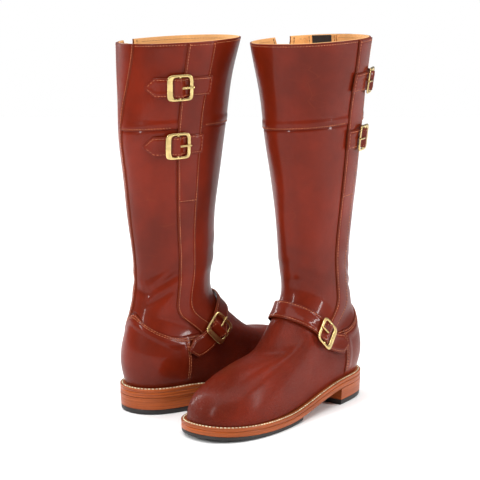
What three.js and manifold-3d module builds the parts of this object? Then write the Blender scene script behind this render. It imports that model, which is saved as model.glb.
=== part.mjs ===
// A pair of knee-high leather riding boots in millimetres, +Z up, standing on the ground plane.
//
// One boot is worked out in its own frame: x runs forward from the back of the heel, y to the
// outer side of the leg and z up from the ground. The left boot is placed as it is and the right
// boot is its mirror image. Every leather piece follows one smooth skin, the outer face of the
// boot, and is a patch of it between two distances from that skin.

import * as THREE from 'three';
import { mergeVertices } from 'three/addons/utils/BufferGeometryUtils.js';
import Module from 'manifold-3d';

const wasm = await Module();
wasm.setup();

// ---- Driving dimensions ---------------------------------------------------------------------

// Plan of the foot at the welt. The lengths are those of the control outline.
const foot = { length: 283, ballWidth: 93, heelWidth: 76, seamX: 58 };

// Sole unit, from the ground up: rubber, leather sole, welt.
const sole = {
  rubber: 4, leather: 6, welt: 4, weltProud: 6, weltUnder: 7,
  heelRubber: 6, heelTop: 30, heelTaper: 2, breastX: 73, toeSpring: 4, ballX: 185, halfSoleX: 158,
};

// Leg: the ankle's front and back points, and the height of the top line.
const ankle = { frontX: 110, frontZ: 130, backX: 10, backZ: 112, halfWidth: 33 };
const leg = { height: 420, topTilt: 0.057 };

// Leather pieces.
const leather = 1.6;
const trim = 1.4;
const liningLeather = 1.2;
const gap = 0.35;
const seamGap = 0.9;
const trimGap = 0.6;
const liningGap = 0.8;

// Where the seams run, as heights and as depths below the top line.
const counterBackZ = 113;
const waistSideZ = 86;
const waistFrontZ = 116;
const cuffDepth = 97;
const flapDepth = 182;

// Straps and buckles.
const strap = { width: 22, thickness: 2, pointLength: 13, upperDepth: 49, lowerDepth: 115, humpLength: 4.2 };
const buckle = { length: 30, thickness: 1.8, barRadius: 1.3, frontBar: 4, rearBar: 6.5, side: 3 };
buckle.height = strap.width + 2 * (buckle.side + 1);
const prong = { width: 2.4, thickness: 1.4, eyeWall: 1.1, running: 0.3 };

// Zip on the inner side.
const zip = {
  bottomZ: 136, openZ: 200, topDepth: 20, slot: 13, chainWidth: 5, chainHeight: 1.6, tape: 1,
  notch: 9, notchDepth: 24,
};
const slider = { width: 9.4, length: 13, height: 3.4, fromTop: 8 };
const pull = { width: 6.5, length: 24, thickness: 1.4, eyeRadius: 2, pinRadius: 0.8 };

// The leg lining starts at this ring, above the bend of the ankle.
const liningRing = 6.2;

// Elastic gore inside the back of the top line.
const gore = { from: 0.533, to: 0.605, depth: 45, thickness: 1 };

// Where each boot stands: the back of its heel on the ground and the way its toe points.
const places = {
  left: { x: 125.5, y: -51, turn: 233.8, mirrored: false },
  right: { x: -127.5, y: -165, turn: 41, mirrored: true },
};
const pairCentre = { x: 6.37, y: -124.74 };

// Directions round the boot are shares of a turn: 0 is the toe and shin, a quarter is the outer
// side, a half is the heel and calf, and three quarters is the inner side.
const seam = {
  flapFront: { low: 0.236, high: 0.25 },
  flapRear: { low: 0.3, high: 0.326 },
  zip: 0.6875,
  stay: 0.54,
};

// ---- Colours --------------------------------------------------------------------------------

const colours = {
  leather: { color: 0x6e1f12, roughness: 0.38, metalness: 0 },
  lining: { color: 0xd29c60, roughness: 0.75, metalness: 0 },
  edge: { color: 0xbd6f35, roughness: 0.5, metalness: 0 },
  rubber: { color: 0x2a211d, roughness: 0.8, metalness: 0 },
  brass: { color: 0xd8bf86, roughness: 0.22, metalness: 1 },
  elastic: { color: 0x2b211d, roughness: 0.9, metalness: 0 },
  steel: { color: 0x8a8a88, roughness: 0.35, metalness: 1 },
};

// ---- The skin -------------------------------------------------------------------------------

const ringPoints = 16;
const clamp = (value, low, high) => Math.min(high, Math.max(low, value));
const mix = (a, b, share) => a + (b - a) * share;
const smooth = (value) => {
  const t = clamp(value, 0, 1);
  return t * t * (3 - 2 * t);
};
const angle = (share) => share * 2 * Math.PI;

// Height of the welt's top face: level under the heel, down to the ball, up at the toe.
const ballTop = sole.rubber + sole.leather + sole.welt;
function weltTop(x) {
  const heelRise = (sole.heelTop - ballTop) * smooth((sole.ballX - x) / (sole.ballX - 55));
  const toeShare = clamp((x - sole.ballX) / (foot.length - sole.ballX), 0, 1.2);
  return ballTop + heelRise + sole.toeSpring * toeShare ** 2;
}

// Outline of the foot at the welt: x as a share of the foot's length and y as a share of half
// the ball's width, or half the heel's for the points behind the waist. It starts at the toe,
// runs back along the outer side and forward along the inner side.
const outlineShares = [
  [1, -0.06], [0.985, 0.47], [0.89, 0.87], [0.735, 1],
  [0.55, 0.9], [0.355, 0.82], [0.18, 0.97], [0.05, 0.76],
  [0, 0], [0.05, -0.76], [0.18, -0.97], [0.35, -0.72],
  [0.535, -0.68], [0.725, -0.93], [0.88, -0.96], [0.975, -0.64],
];
const outline = outlineShares.map(([along, across]) => {
  const half = along < 0.3 ? foot.heelWidth / 2 : foot.ballWidth / 2;
  return [along * foot.length, across * half];
});

// Rings between the welt and the ankle. Each row gives, for the toe, both sides and the heel, how
// far the ring has moved from the outline towards the ankle in plan and in height. The inner side
// is cut lower than the outer one, as the arch of a foot is.
const footRings = [
  { toe: [0.02, 0.27], outer: [0.05, 0.24], inner: [0.05, 0.16], heel: [-0.9, 0.29] },
  { toe: [0.45, 0.5], outer: [0.4, 0.5], inner: [0.5, 0.28], heel: [-0.55, 0.6] },
  { toe: [0.6, 0.46], outer: [0.7, 0.75], inner: [0.92, 0.47], heel: [0.2, 0.84] },
  { toe: [0.72, 0.62], outer: [0.9, 0.87], inner: [1, 0.75], heel: [0.6, 0.925] },
];

// Rings of the leg. Each row gives the share of the height from the ankle to the top line, the
// front and back points' x, and the half width on the outer and on the inner side.
const legRings = [
  { share: 0.12, front: 122, back: 19, outer: 33.5, inner: 33.5 },
  { share: 0.28, front: 122, back: 13, outer: 34.5, inner: 37.5 },
  { share: 0.45, front: 128, back: 7, outer: 41, inner: 44 },
  { share: 0.655, front: 138, back: -1.5, outer: 46, inner: 52 },
  { share: 0.828, front: 141, back: 3, outer: 55, inner: 59 },
  { share: 1, front: 151, back: 5, outer: 66.5, inner: 66.5 },
];

// One ring of the leg: an oval through a front and a back point, with its own half widths.
function legRing(frontX, frontZ, backX, backZ, outer, inner, tilt) {
  const ring = [];
  for (let i = 0; i < ringPoints; i += 1) {
    const c = Math.cos(angle(i / ringPoints));
    const s = Math.sin(angle(i / ringPoints));
    const along = (frontX + backX) / 2 + (frontX - backX) / 2 * Math.sign(c) * Math.abs(c) ** 0.95;
    const across = (s > 0 ? outer : inner) * Math.sign(s) * Math.abs(s) ** 0.95;
    const up = (frontZ + backZ) / 2 + (frontZ - backZ) / 2 * c + tilt * across;
    ring.push([along, across, up]);
  }
  return ring;
}

// All control rings, from the welt up. The rings of the leg are evened out beside the zip, whose
// stiff tape keeps that line straight.
function controlRings() {
  const ground = outline.map(([x, y]) => [x, y, weltTop(x)]);
  const wide = ankle.halfWidth;
  const top = legRing(ankle.frontX, ankle.frontZ, ankle.backX, ankle.backZ, wide, wide, 0);
  const rings = [ground];
  for (const row of footRings) {
    rings.push(ground.map((from, i) => {
      const c = Math.cos(angle(i / ringPoints));
      const toe = clamp(c, 0, 1) ** 1.5;
      const heel = clamp(-c, 0, 1) ** 1.5;
      const side = i > ringPoints / 2 ? row.inner : row.outer;
      const rest = 1 - toe - heel;
      const inPlan = row.toe[0] * toe + side[0] * rest + row.heel[0] * heel;
      const inHeight = row.toe[1] * toe + side[1] * rest + row.heel[1] * heel;
      const to = top[i];
      return [mix(from[0], to[0], inPlan), mix(from[1], to[1], inPlan), mix(from[2], to[2], inHeight)];
    }));
  }
  rings.push(top);
  for (const row of legRings) {
    const frontZ = mix(ankle.frontZ, leg.height, row.share);
    const backZ = mix(ankle.backZ, leg.height, row.share);
    const tilt = leg.topTilt * smooth(row.share / 0.6);
    rings.push(legRing(row.front, frontZ, row.back, backZ, row.outer, row.inner, tilt));
  }
  const low = rings.length - legRings.length;
  const high = rings.length - 1;
  for (let k = 10; k <= 12; k += 1) {
    for (let i = low + 1; i < high; i += 1) {
      const share = (rings[i][k][2] - rings[low][k][2]) / (rings[high][k][2] - rings[low][k][2]);
      rings[i][k][0] = mix(rings[low][k][0], rings[high][k][0], share);
      rings[i][k][1] = mix(rings[low][k][1], rings[high][k][1], share);
    }
  }
  const before = rings[0].map((p, k) => p.map((value, axis) => 2 * value - rings[1][k][axis]));
  const after = rings[high].map((p, k) => p.map((value, axis) => 2 * value - rings[high - 1][k][axis]));
  return [before, ...rings, after];
}

const rings = controlRings();
const topRing = rings.length - 3;

// Weights of the four control points that shape a stretch of a uniform cubic B-spline.
function splineWeights(t) {
  return [
    (1 - t) ** 3 / 6,
    (3 * t ** 3 - 6 * t ** 2 + 4) / 6,
    (-3 * t ** 3 + 3 * t ** 2 + 3 * t + 1) / 6,
    t ** 3 / 6,
  ];
}

// A point of the skin: round is the share of a turn, up counts the rings from the welt.
function skin(round, up) {
  const place = (((round % 1) + 1) % 1) * ringPoints;
  const column = Math.floor(place);
  const row = clamp(Math.floor(up), 0, topRing - 1);
  const across = splineWeights(place - column);
  const along = splineWeights(up - row);
  const point = new THREE.Vector3();
  for (let a = 0; a < 4; a += 1) {
    for (let b = 0; b < 4; b += 1) {
      const control = rings[row + a][(column + b - 1 + ringPoints) % ringPoints];
      const weight = along[a] * across[b];
      point.x += weight * control[0];
      point.y += weight * control[1];
      point.z += weight * control[2];
    }
  }
  return point;
}

// The skin's two slopes, per turn and per ring.
function slopes(round, up) {
  const step = 1e-4;
  const low = Math.max(0, up - step);
  const high = Math.min(topRing, up + step);
  const turning = skin(round + step, up).sub(skin(round - step, up)).divideScalar(2 * step);
  const rising = skin(round, high).sub(skin(round, low)).divideScalar(high - low);
  return { turning, rising };
}

// Outward direction, level where the skin meets the welt.
function outward(round, up) {
  const { turning, rising } = slopes(round, up);
  const normal = turning.cross(rising).normalize();
  normal.z *= smooth(up / 0.8);
  return normal.normalize();
}

function skinPoint(round, up, distance) {
  return skin(round, up).addScaledVector(outward(round, up), distance);
}

// The ring count at which the skin reaches a height in one direction.
function ringAtHeight(round, height) {
  let low = 0;
  let high = topRing;
  for (let i = 0; i < 40; i += 1) {
    const middle = (low + high) / 2;
    if (skin(round, middle).z < height) low = middle;
    else high = middle;
  }
  return (low + high) / 2;
}

// The direction in which one side of the foot passes a given x.
function roundAtX(up, x, isOuter) {
  let near = isOuter ? 0.1 : 0.9;
  let far = 0.5;
  for (let i = 0; i < 40; i += 1) {
    const middle = (near + far) / 2;
    if (skin(middle, up).x > x) near = middle;
    else far = middle;
  }
  return (near + far) / 2;
}

// The ring count at which the skin stands clear of the welt's top face in one direction.
function ringAboveWelt(round) {
  let [low, high] = [0, 1];
  for (let i = 0; i < 30; i += 1) {
    const middle = (low + high) / 2;
    const point = skin(round, middle);
    if (point.z < weltTop(point.x) + gap) low = middle;
    else high = middle;
  }
  return (low + high) / 2;
}

// Height of the top line in one direction.
const topHeight = (round) => skin(round, topRing).z;
const shareOfLeg = (height) => clamp((height - ankle.frontZ) / (leg.height - ankle.frontZ), 0, 1);

// ---- Seam lines -----------------------------------------------------------------------------

// Line where the foot pieces meet the leg pieces: high at the back and over the instep.
const seamTurn = 0.366;
function waistHeight(round) {
  const turn = Math.abs(round > 0.5 ? round - 1 : round);
  if (turn < 0.3) return mix(waistSideZ, waistFrontZ, Math.cos(turn / 0.3 * Math.PI / 2) ** 2);
  return mix(waistSideZ, counterBackZ, smooth((turn - seamTurn) / (0.5 - seamTurn)));
}

const flapFrontAt = (height) => mix(seam.flapFront.low, seam.flapFront.high, shareOfLeg(height));
const flapRearAt = (height) => mix(seam.flapRear.low, seam.flapRear.high, shareOfLeg(height));

// Half width of the slot beside the zip, in turns, spread into a notch at the top line.
function zipHalfTurn(up, open) {
  const { turning } = slopes(seam.zip, up);
  const below = topHeight(seam.zip) - skin(seam.zip, up).z;
  const notchShare = smooth(1 - below / zip.notchDepth);
  return (open + notchShare * zip.notch / 2) / turning.length();
}

// ---- Solids ---------------------------------------------------------------------------------

// A closed geometry from points and faces: doubles are merged and faces without area dropped.
function closedGeometry(points, faces) {
  const loose = new THREE.BufferGeometry();
  loose.setAttribute('position', new THREE.Float32BufferAttribute(points.flatMap((p) => p.toArray()), 3));
  loose.setIndex(faces.flat());
  const merged = mergeVertices(loose, 1e-4);
  const index = merged.getIndex().array;
  const kept = [];
  for (let i = 0; i < index.length; i += 3) {
    const [a, b, c] = [index[i], index[i + 1], index[i + 2]];
    if (a !== b && b !== c && a !== c) kept.push(a, b, c);
  }
  merged.setIndex(kept);
  return merged;
}

// The two triangles of a four-sided face.
const quad = (a, b, c, d) => [[a, b, c], [a, c, d]];

// A slab over a grid: top[i][j] and bottom[i][j] are its two faces' points, with i across the
// outward-facing side's first direction and j along its second.
function gridSlab(top, bottom) {
  const rows = top.length;
  const columns = top[0].length;
  const points = [...top.flat(), ...bottom.flat()];
  const upper = (i, j) => i * columns + j;
  const lower = (i, j) => rows * columns + i * columns + j;
  const faces = [];
  for (let i = 0; i < rows - 1; i += 1) {
    for (let j = 0; j < columns - 1; j += 1) {
      faces.push(...quad(upper(i, j), upper(i + 1, j), upper(i + 1, j + 1), upper(i, j + 1)));
      faces.push(...quad(lower(i, j), lower(i, j + 1), lower(i + 1, j + 1), lower(i + 1, j)));
    }
  }
  for (let i = 0; i < rows - 1; i += 1) {
    faces.push(...quad(lower(i, 0), lower(i + 1, 0), upper(i + 1, 0), upper(i, 0)));
    const last = columns - 1;
    faces.push(...quad(upper(i, last), upper(i + 1, last), lower(i + 1, last), lower(i, last)));
  }
  for (let j = 0; j < columns - 1; j += 1) {
    faces.push(...quad(upper(0, j), upper(0, j + 1), lower(0, j + 1), lower(0, j)));
    const last = rows - 1;
    faces.push(...quad(lower(last, j), lower(last, j + 1), upper(last, j + 1), upper(last, j)));
  }
  return closedGeometry(points, faces);
}

// A leather piece: spot(s, t) gives its direction and ring for s round the boot and t up it.
function panel(spot, acrossCount, upCount, inner, outer) {
  const top = [];
  const bottom = [];
  for (let i = 0; i <= acrossCount; i += 1) {
    const topRow = [];
    const bottomRow = [];
    for (let j = 0; j <= upCount; j += 1) {
      const [round, up] = spot(i / acrossCount, j / upCount);
      topRow.push(skinPoint(round, up, outer));
      bottomRow.push(skinPoint(round, up, inner));
    }
    top.push(topRow);
    bottom.push(bottomRow);
  }
  return gridSlab(top, bottom);
}

// Width of a clearance as a share of a turn and as a share of a ring.
const asTurn = (round, up, width) => width / slopes(round, up).turning.length();
const asRing = (round, up, width) => width / slopes(round, up).rising.length();

// A patch between two directions and two heights, each a function of the other coordinate.
// A crowd above 1 brings its rows closer together at the bottom.
function legPatch(fromRound, toRound, bottomHeight, topHeightOf, lowGap, highGap, crowd = 1) {
  return (s, tEven) => {
    const t = tEven ** crowd;
    let round = mix(fromRound(leg.height), toRound(leg.height), s);
    let up = topRing;
    for (let pass = 0; pass < 4; pass += 1) {
      const low = ringAtHeight(round, bottomHeight(round));
      const high = topHeightOf ? ringAtHeight(round, topHeightOf(round)) : topRing;
      up = mix(low + asRing(round, low, lowGap), high - asRing(round, high, highGap), t);
      const height = skin(round, up).z;
      round = mix(fromRound(height, up), toRound(height, up), s);
    }
    return [round, up];
  };
}

const half = gap / 2;
const cuffHeight = (round) => topHeight(round) - cuffDepth;
const flapHeight = (round) => topHeight(round) - flapDepth;
const beforeZip = (height, up = topRing) => seam.zip - zipHalfTurn(up, zip.slot / 2);
const afterZip = (height, up = topRing) => seam.zip - 1 + zipHalfTurn(up, zip.slot / 2);
const seamFront = (height) => flapFrontAt(height) - half / 200;
const seamRear = (height) => flapFrontAt(height) + half / 200;

function footPatch(isVamp) {
  return (s, t) => {
    let round = 0;
    let up = 0;
    const clear = isVamp ? half : -half;
    for (let pass = 0; pass < 4; pass += 1) {
      const outer = roundAtX(up, foot.seamX + clear, true);
      const inner = roundAtX(up, foot.seamX + clear, false);
      round = isVamp ? mix(inner - 1, outer, s) : mix(outer, inner, s);
      const high = ringAtHeight(round, waistHeight(((round % 1) + 1) % 1));
      up = mix(ringAboveWelt(round), high - asRing(round, high, seamGap / 2), t);
    }
    return [round, up];
  };
}

// ---- Sole pieces ----------------------------------------------------------------------------

// The outline as a smooth loop, set out from the upper by a distance.
const loopCount = 360;
function outlineLoop(outset) {
  const loop = [];
  for (let i = 0; i < loopCount; i += 1) {
    const round = i / loopCount;
    const point = skin(round, 0);
    const { turning } = slopes(round, 0);
    const length = Math.hypot(turning.x, turning.y);
    loop.push([point.x + turning.y / length * outset, point.y - turning.x / length * outset]);
  }
  return loop;
}

// The two sides of a loop as y at a given x, the outer side first.
function loopSides(loop) {
  let toe = 0;
  let heel = 0;
  loop.forEach(([x], i) => {
    if (x > loop[toe][0]) toe = i;
    if (x < loop[heel][0]) heel = i;
  });
  const yAt = (x, step) => {
    let i = toe;
    while (i !== heel) {
      const next = (i + step + loopCount) % loopCount;
      const [x0, y0] = loop[i];
      const [x1, y1] = loop[next];
      if (x <= x0 && x >= x1) return mix(y0, y1, x0 === x1 ? 0 : (x0 - x) / (x0 - x1));
      i = next;
    }
    return loop[heel][1];
  };
  return { low: loop[heel][0], high: loop[toe][0], yAt };
}

// A slab of the sole between two x, with its own outset and height at the top and the bottom.
function soleSlab(fromX, toX, stations, outsetTop, outsetBottom, topZ, bottomZ) {
  const faces = [outsetTop, outsetBottom].map((outset, face) => {
    const sides = loopSides(outlineLoop(outset));
    const low = Math.max(fromX, sides.low);
    const high = Math.min(toX, sides.high);
    const points = [];
    for (let i = 0; i <= stations; i += 1) {
      const rounded = (1 - Math.cos(Math.PI * i / stations)) / 2;
      const x = mix(low, high, mix(i / stations, rounded, 0.75));
      const z = face === 0 ? topZ(x) : bottomZ(x);
      const outerY = sides.yAt(x, 1);
      const innerY = x === sides.low || x === sides.high ? outerY : sides.yAt(x, -1);
      const across = [innerY, 0.5 * (outerY + innerY), outerY];
      points.push(across.map((y) => new THREE.Vector3(x, y, z)));
    }
    return points;
  });
  return gridSlab(faces[0], faces[1]);
}

function weltGeometry() {
  const count = 40;
  const outerLoop = outlineLoop(sole.weltProud);
  const innerLoop = outlineLoop(-sole.weltUnder);
  const points = [];
  const faces = [];
  for (let i = 0; i < count; i += 1) {
    const pick = Math.round(i * loopCount / count) % loopCount;
    for (const [x, y] of [outerLoop[pick], innerLoop[pick]]) {
      points.push(new THREE.Vector3(x, y, weltTop(x)));
      points.push(new THREE.Vector3(x, y, weltTop(x) - sole.welt));
    }
    const here = i * 4;
    const next = ((i + 1) % count) * 4;
    faces.push(...quad(here, next, next + 2, here + 2).map((f) => [...f].reverse()));
    faces.push(...quad(here + 1, next + 1, next + 3, here + 3));
    faces.push(...quad(here, next, next + 1, here + 1));
    faces.push(...quad(here + 2, next + 2, next + 3, here + 3).map((f) => [...f].reverse()));
  }
  return orientedOut(closedGeometry(points, faces));
}

// Turns a closed geometry inside out when its volume comes out negative.
function orientedOut(geometry) {
  const position = geometry.getAttribute('position');
  const index = geometry.getIndex().array;
  const [a, b, c] = [new THREE.Vector3(), new THREE.Vector3(), new THREE.Vector3()];
  let volume = 0;
  for (let i = 0; i < index.length; i += 3) {
    a.fromBufferAttribute(position, index[i]);
    b.fromBufferAttribute(position, index[i + 1]);
    c.fromBufferAttribute(position, index[i + 2]);
    volume += a.dot(b.cross(c));
  }
  if (volume > 0) return geometry;
  const turned = [];
  for (let i = 0; i < index.length; i += 3) turned.push(index[i], index[i + 2], index[i + 1]);
  geometry.setIndex(turned);
  return geometry;
}

// ---- Booleans -------------------------------------------------------------------------------

function toSolid(geometry) {
  const bare = geometry.clone();
  bare.deleteAttribute('normal');
  bare.deleteAttribute('uv');
  const merged = mergeVertices(bare, 1e-4);
  const vertProperties = new Float32Array(merged.getAttribute('position').array);
  const triVerts = new Uint32Array(merged.getIndex().array);
  return new wasm.Manifold(new wasm.Mesh({ numProp: 3, vertProperties, triVerts }));
}

function fromSolid(solid) {
  const mesh = solid.getMesh();
  const geometry = new THREE.BufferGeometry();
  geometry.setAttribute('position', new THREE.BufferAttribute(new Float32Array(mesh.vertProperties), 3));
  geometry.setIndex([...mesh.triVerts]);
  return geometry;
}

// ---- Straps and buckles ---------------------------------------------------------------------

// The place on the skin nearest to a point, found by a few Newton steps from a first guess.
function nearest(point, round, up) {
  let [r, u] = [round, up];
  for (let pass = 0; pass < 6; pass += 1) {
    const { turning, rising } = slopes(r, u);
    const off = point.clone().sub(skin(r, u));
    const [aa, ab, bb] = [turning.dot(turning), turning.dot(rising), rising.dot(rising)];
    const [pa, pb] = [off.dot(turning), off.dot(rising)];
    const determinant = aa * bb - ab * ab;
    r += (pa * bb - pb * ab) / determinant;
    u = clamp(u + (pb * aa - pa * ab) / determinant, 0.02, topRing - 0.001);
  }
  return [r, u];
}

// A line on the skin, with points at even distances: at(distance) gives the direction, the ring
// and the frame there, with along pointing down the line and across to its left.
function skinLine(heightAt, fromRound, toRound) {
  const count = 160;
  const spots = [];
  let length = 0;
  for (let i = 0; i <= count; i += 1) {
    const round = mix(fromRound, toRound, i / count);
    const up = ringAtHeight(round, heightAt(round));
    const point = skin(round, up);
    if (i > 0) length += point.distanceTo(spots[i - 1].point);
    spots.push({ round, up, point, length });
  }
  const at = (distance) => {
    const wanted = clamp(distance, 0, length);
    let i = 1;
    while (i < count && spots[i].length < wanted) i += 1;
    const share = (wanted - spots[i - 1].length) / (spots[i].length - spots[i - 1].length);
    const round = mix(spots[i - 1].round, spots[i].round, share);
    const up = mix(spots[i - 1].up, spots[i].up, share);
    const point = skin(round, up);
    const out = outward(round, up);
    const along = spots[i].point.clone().sub(spots[i - 1].point);
    along.addScaledVector(out, -along.dot(out)).normalize();
    return { round, up, point, out, along, across: out.clone().cross(along) };
  };
  return { length, at };
}

const overTrim = trimGap + trim + gap + 0.05;
const eyeRadius = buckle.barRadius + prong.running + prong.eyeWall;
const barCentre = overTrim + eyeRadius + 2 * gap;
const riseOverBar = barCentre + buckle.barRadius + gap - overTrim;

// Height of a strap's underside above the skin: it lies on the trim and climbs over the bar.
function strapLift(distance, barAt) {
  return overTrim + riseOverBar * Math.exp(-(((distance - barAt) / strap.humpLength) ** 2));
}

// A strap along a line on the skin, pointed at its far end.
function strapGeometry(line, barAt) {
  const top = [];
  const bottom = [];
  const near = [-12, -8, -5.5, -3.5, -1.7, 0, 1.7, 3.5, 5.5, 8, 12].map((d) => barAt + d);
  const evenly = (from, to) => {
    const count = Math.ceil((to - from) / 9);
    return Array.from({ length: count }, (_, i) => mix(from, to, i / count));
  };
  const pointAt = line.length - strap.pointLength;
  const beyond = evenly(near.at(-1), pointAt).slice(1);
  const stations = [...evenly(0, near[0]), ...near, ...beyond, pointAt, line.length];
  for (const distance of stations) {
    const spot = line.at(distance);
    const left = line.length - distance;
    const halfWidth = strap.width / 2 * clamp(0.15 + left / strap.pointLength, 0, 1);
    const lift = strapLift(distance, barAt);
    const topRow = [];
    const bottomRow = [];
    for (const share of [-1, 0, 1]) {
      const wanted = spot.point.clone().addScaledVector(spot.across, share * halfWidth);
      const [round, up] = nearest(wanted, spot.round, spot.up);
      topRow.push(skinPoint(round, up, lift + strap.thickness));
      bottomRow.push(skinPoint(round, up, lift));
    }
    top.push(topRow);
    bottom.push(bottomRow);
  }
  return orientedOut(gridSlab(top, bottom));
}

// Places a shape drawn with x along the strap, y across it and z outward.
function frameMatrix(spot) {
  return new THREE.Matrix4().makeBasis(spot.along, spot.across, spot.out).setPosition(spot.point);
}

function boxGeometry(lowX, highX, lowY, highY, lowZ, highZ) {
  const box = new THREE.BoxGeometry(highX - lowX, highY - lowY, highZ - lowZ);
  return box.translate((lowX + highX) / 2, (lowY + highY) / 2, (lowZ + highZ) / 2);
}

function roundedOutline(target, halfX, halfY, radius) {
  target.moveTo(-halfX + radius, -halfY);
  target.lineTo(halfX - radius, -halfY);
  target.absarc(halfX - radius, -halfY + radius, radius, -Math.PI / 2, 0, false);
  target.absarc(halfX - radius, halfY - radius, radius, 0, Math.PI / 2, false);
  target.absarc(-halfX + radius, halfY - radius, radius, Math.PI / 2, Math.PI, false);
  target.absarc(-halfX + radius, -halfY + radius, radius, Math.PI, 1.5 * Math.PI, false);
  return target;
}

function extruded(shape, depth, curveSegments) {
  return new THREE.ExtrudeGeometry(shape, { depth, bevelEnabled: false, curveSegments });
}

// Buckle frame: a rounded ring with a wide rear bar and a round bar across its middle.
function buckleGeometry() {
  const shape = roundedOutline(new THREE.Shape(), buckle.length / 2, buckle.height / 2, 4.5);
  const innerLength = buckle.length - buckle.frontBar - buckle.rearBar;
  const hole = roundedOutline(new THREE.Path(), innerLength / 2, buckle.height / 2 - buckle.side, 2.2);
  const shift = (buckle.frontBar - buckle.rearBar) / 2;
  const points = hole.getPoints(3).map((p) => new THREE.Vector2(p.x + shift, p.y));
  shape.holes.push(new THREE.Path(points));
  const ring = extruded(shape, buckle.thickness, 3);
  ring.translate(0, 0, barCentre - buckle.thickness / 2);
  const bar = new THREE.CylinderGeometry(buckle.barRadius, buckle.barRadius, buckle.height - buckle.side, 8);
  bar.translate(0, 0, barCentre);
  return fromSolid(toSolid(ring).add(toSolid(bar)));
}

// Prong: an eye round the middle bar and an arm that rests on the front bar.
function prongGeometry() {
  const innerRadius = buckle.barRadius + prong.running;
  const armLow = barCentre + buckle.thickness / 2 + gap;
  const eye = new THREE.Shape().absarc(0, 0, eyeRadius, 0, 2 * Math.PI, false);
  const eyeRing = extruded(eye, prong.width, 6);
  const arm = new THREE.Shape();
  arm.moveTo(0, armLow - barCentre);
  arm.lineTo(buckle.length / 2 + 0.4, armLow - barCentre);
  arm.lineTo(buckle.length / 2 + 0.4, armLow - barCentre + prong.thickness * 0.7);
  arm.lineTo(buckle.length / 4, armLow - barCentre + prong.thickness);
  arm.lineTo(0, eyeRadius * 0.98);
  const armBar = extruded(arm, prong.width, 6);
  const bore = new THREE.CylinderGeometry(innerRadius, innerRadius, prong.width * 3, 10);
  bore.rotateX(Math.PI / 2);
  const solid = toSolid(eyeRing).add(toSolid(armBar)).subtract(toSolid(bore));
  const geometry = fromSolid(solid);
  geometry.translate(0, 0, -prong.width / 2).rotateX(Math.PI / 2).rotateZ(Math.PI);
  return geometry.translate(0, 0, barCentre);
}

// The slot that lets the prong through its strap.
const slotGeometry = () => boxGeometry(-7.5, 4.2, -prong.width / 2 - 0.6, prong.width / 2 + 0.6, 0, 14);

// ---- Zip ------------------------------------------------------------------------------------

// Frame of the zip: x across it, y down it and z outward, at a height on its straight line.
function zipFrame(height) {
  const low = skin(seam.zip, ringAtHeight(seam.zip, zip.openZ));
  const high = skin(seam.zip, ringAtHeight(seam.zip, zipTopZ()));
  const down = low.clone().sub(high).normalize();
  const out = outward(seam.zip, ringAtHeight(seam.zip, (low.z + high.z) / 2));
  out.addScaledVector(down, -out.dot(down)).normalize();
  const origin = high.clone().lerp(low, (high.z - height) / (high.z - low.z));
  return new THREE.Matrix4().makeBasis(down.clone().cross(out), down, out).setPosition(origin);
}
const zipTopZ = () => topHeight(seam.zip) - zip.topDepth;
const tapeTop = -0.25;

// Tapes and chain: a flat band along the zip with a raised ridge of teeth on its middle.
function zipChainGeometry() {
  const band = (halfWidth, inner, outer) => {
    const edge = (side) => (height, up = topRing) => seam.zip + side * asTurn(seam.zip, up, halfWidth);
    const patch = legPatch(edge(-1), edge(1), () => zip.bottomZ, zipTopZ, 0, 0, 1.3);
    return toSolid(bare(panel(patch, 1, 12, inner, outer)));
  };
  const tape = band(zip.slot / 2 - 1.2, tapeTop - zip.tape, tapeTop);
  return fromSolid(tape.add(band(zip.chainWidth / 2, tapeTop - zip.tape / 2, tapeTop + zip.chainHeight)));
}

function sliderGeometry() {
  const base = tapeTop + gap;
  const body = boxGeometry(-slider.width / 2, slider.width / 2, 0, slider.length, base, base + slider.height);
  const reach = zip.chainWidth / 2 + 0.5;
  const channel = boxGeometry(-reach, reach, -1, slider.length + 1, base - 1, tapeTop + zip.chainHeight + gap);
  const pinZ = base + slider.height + pull.eyeRadius + 0.2;
  let solid = toSolid(body).subtract(toSolid(channel));
  for (const side of [-1, 1]) {
    const postX = side * (pull.width / 4 + 1.3);
    const post = boxGeometry(postX - 0.7, postX + 0.7, 3.5, 5.5, base + slider.height - 0.5, pinZ + 1);
    solid = solid.add(toSolid(post));
  }
  const pin = new THREE.CylinderGeometry(pull.pinRadius, pull.pinRadius, pull.width / 2 + 3, 10);
  pin.rotateZ(Math.PI / 2);
  pin.translate(0, 4.5, pinZ);
  return { geometry: fromSolid(solid.add(toSolid(pin))), pinY: 4.5, pinZ };
}

function pullGeometry(pinY, pinZ) {
  const eyeWidth = pull.width / 2 - 0.1;
  const eye = new THREE.CylinderGeometry(pull.eyeRadius, pull.eyeRadius, eyeWidth, 14).rotateZ(Math.PI / 2);
  const boreRadius = pull.pinRadius + 0.35;
  const bore = new THREE.CylinderGeometry(boreRadius, boreRadius, 20, 12).rotateZ(Math.PI / 2);
  const neck = boxGeometry(-eyeWidth / 2, eyeWidth / 2, 0, 6, -pull.thickness / 2, pull.thickness / 2);
  const tab = new THREE.Shape();
  tab.moveTo(-eyeWidth / 2, 5);
  tab.lineTo(eyeWidth / 2, 5);
  tab.lineTo(pull.width / 2, 8);
  tab.lineTo(pull.width / 2, pull.length - pull.width / 2);
  tab.absarc(0, pull.length - pull.width / 2, pull.width / 2, 0, Math.PI, false);
  tab.lineTo(-pull.width / 2, 8);
  const plate = extruded(tab, pull.thickness, 8);
  plate.translate(0, 0, -pull.thickness / 2);
  const solid = toSolid(eye).add(toSolid(neck)).add(toSolid(plate)).subtract(toSolid(bore));
  return fromSolid(solid).translate(0, pinY, pinZ);
}

// ---- One boot -------------------------------------------------------------------------------

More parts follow.
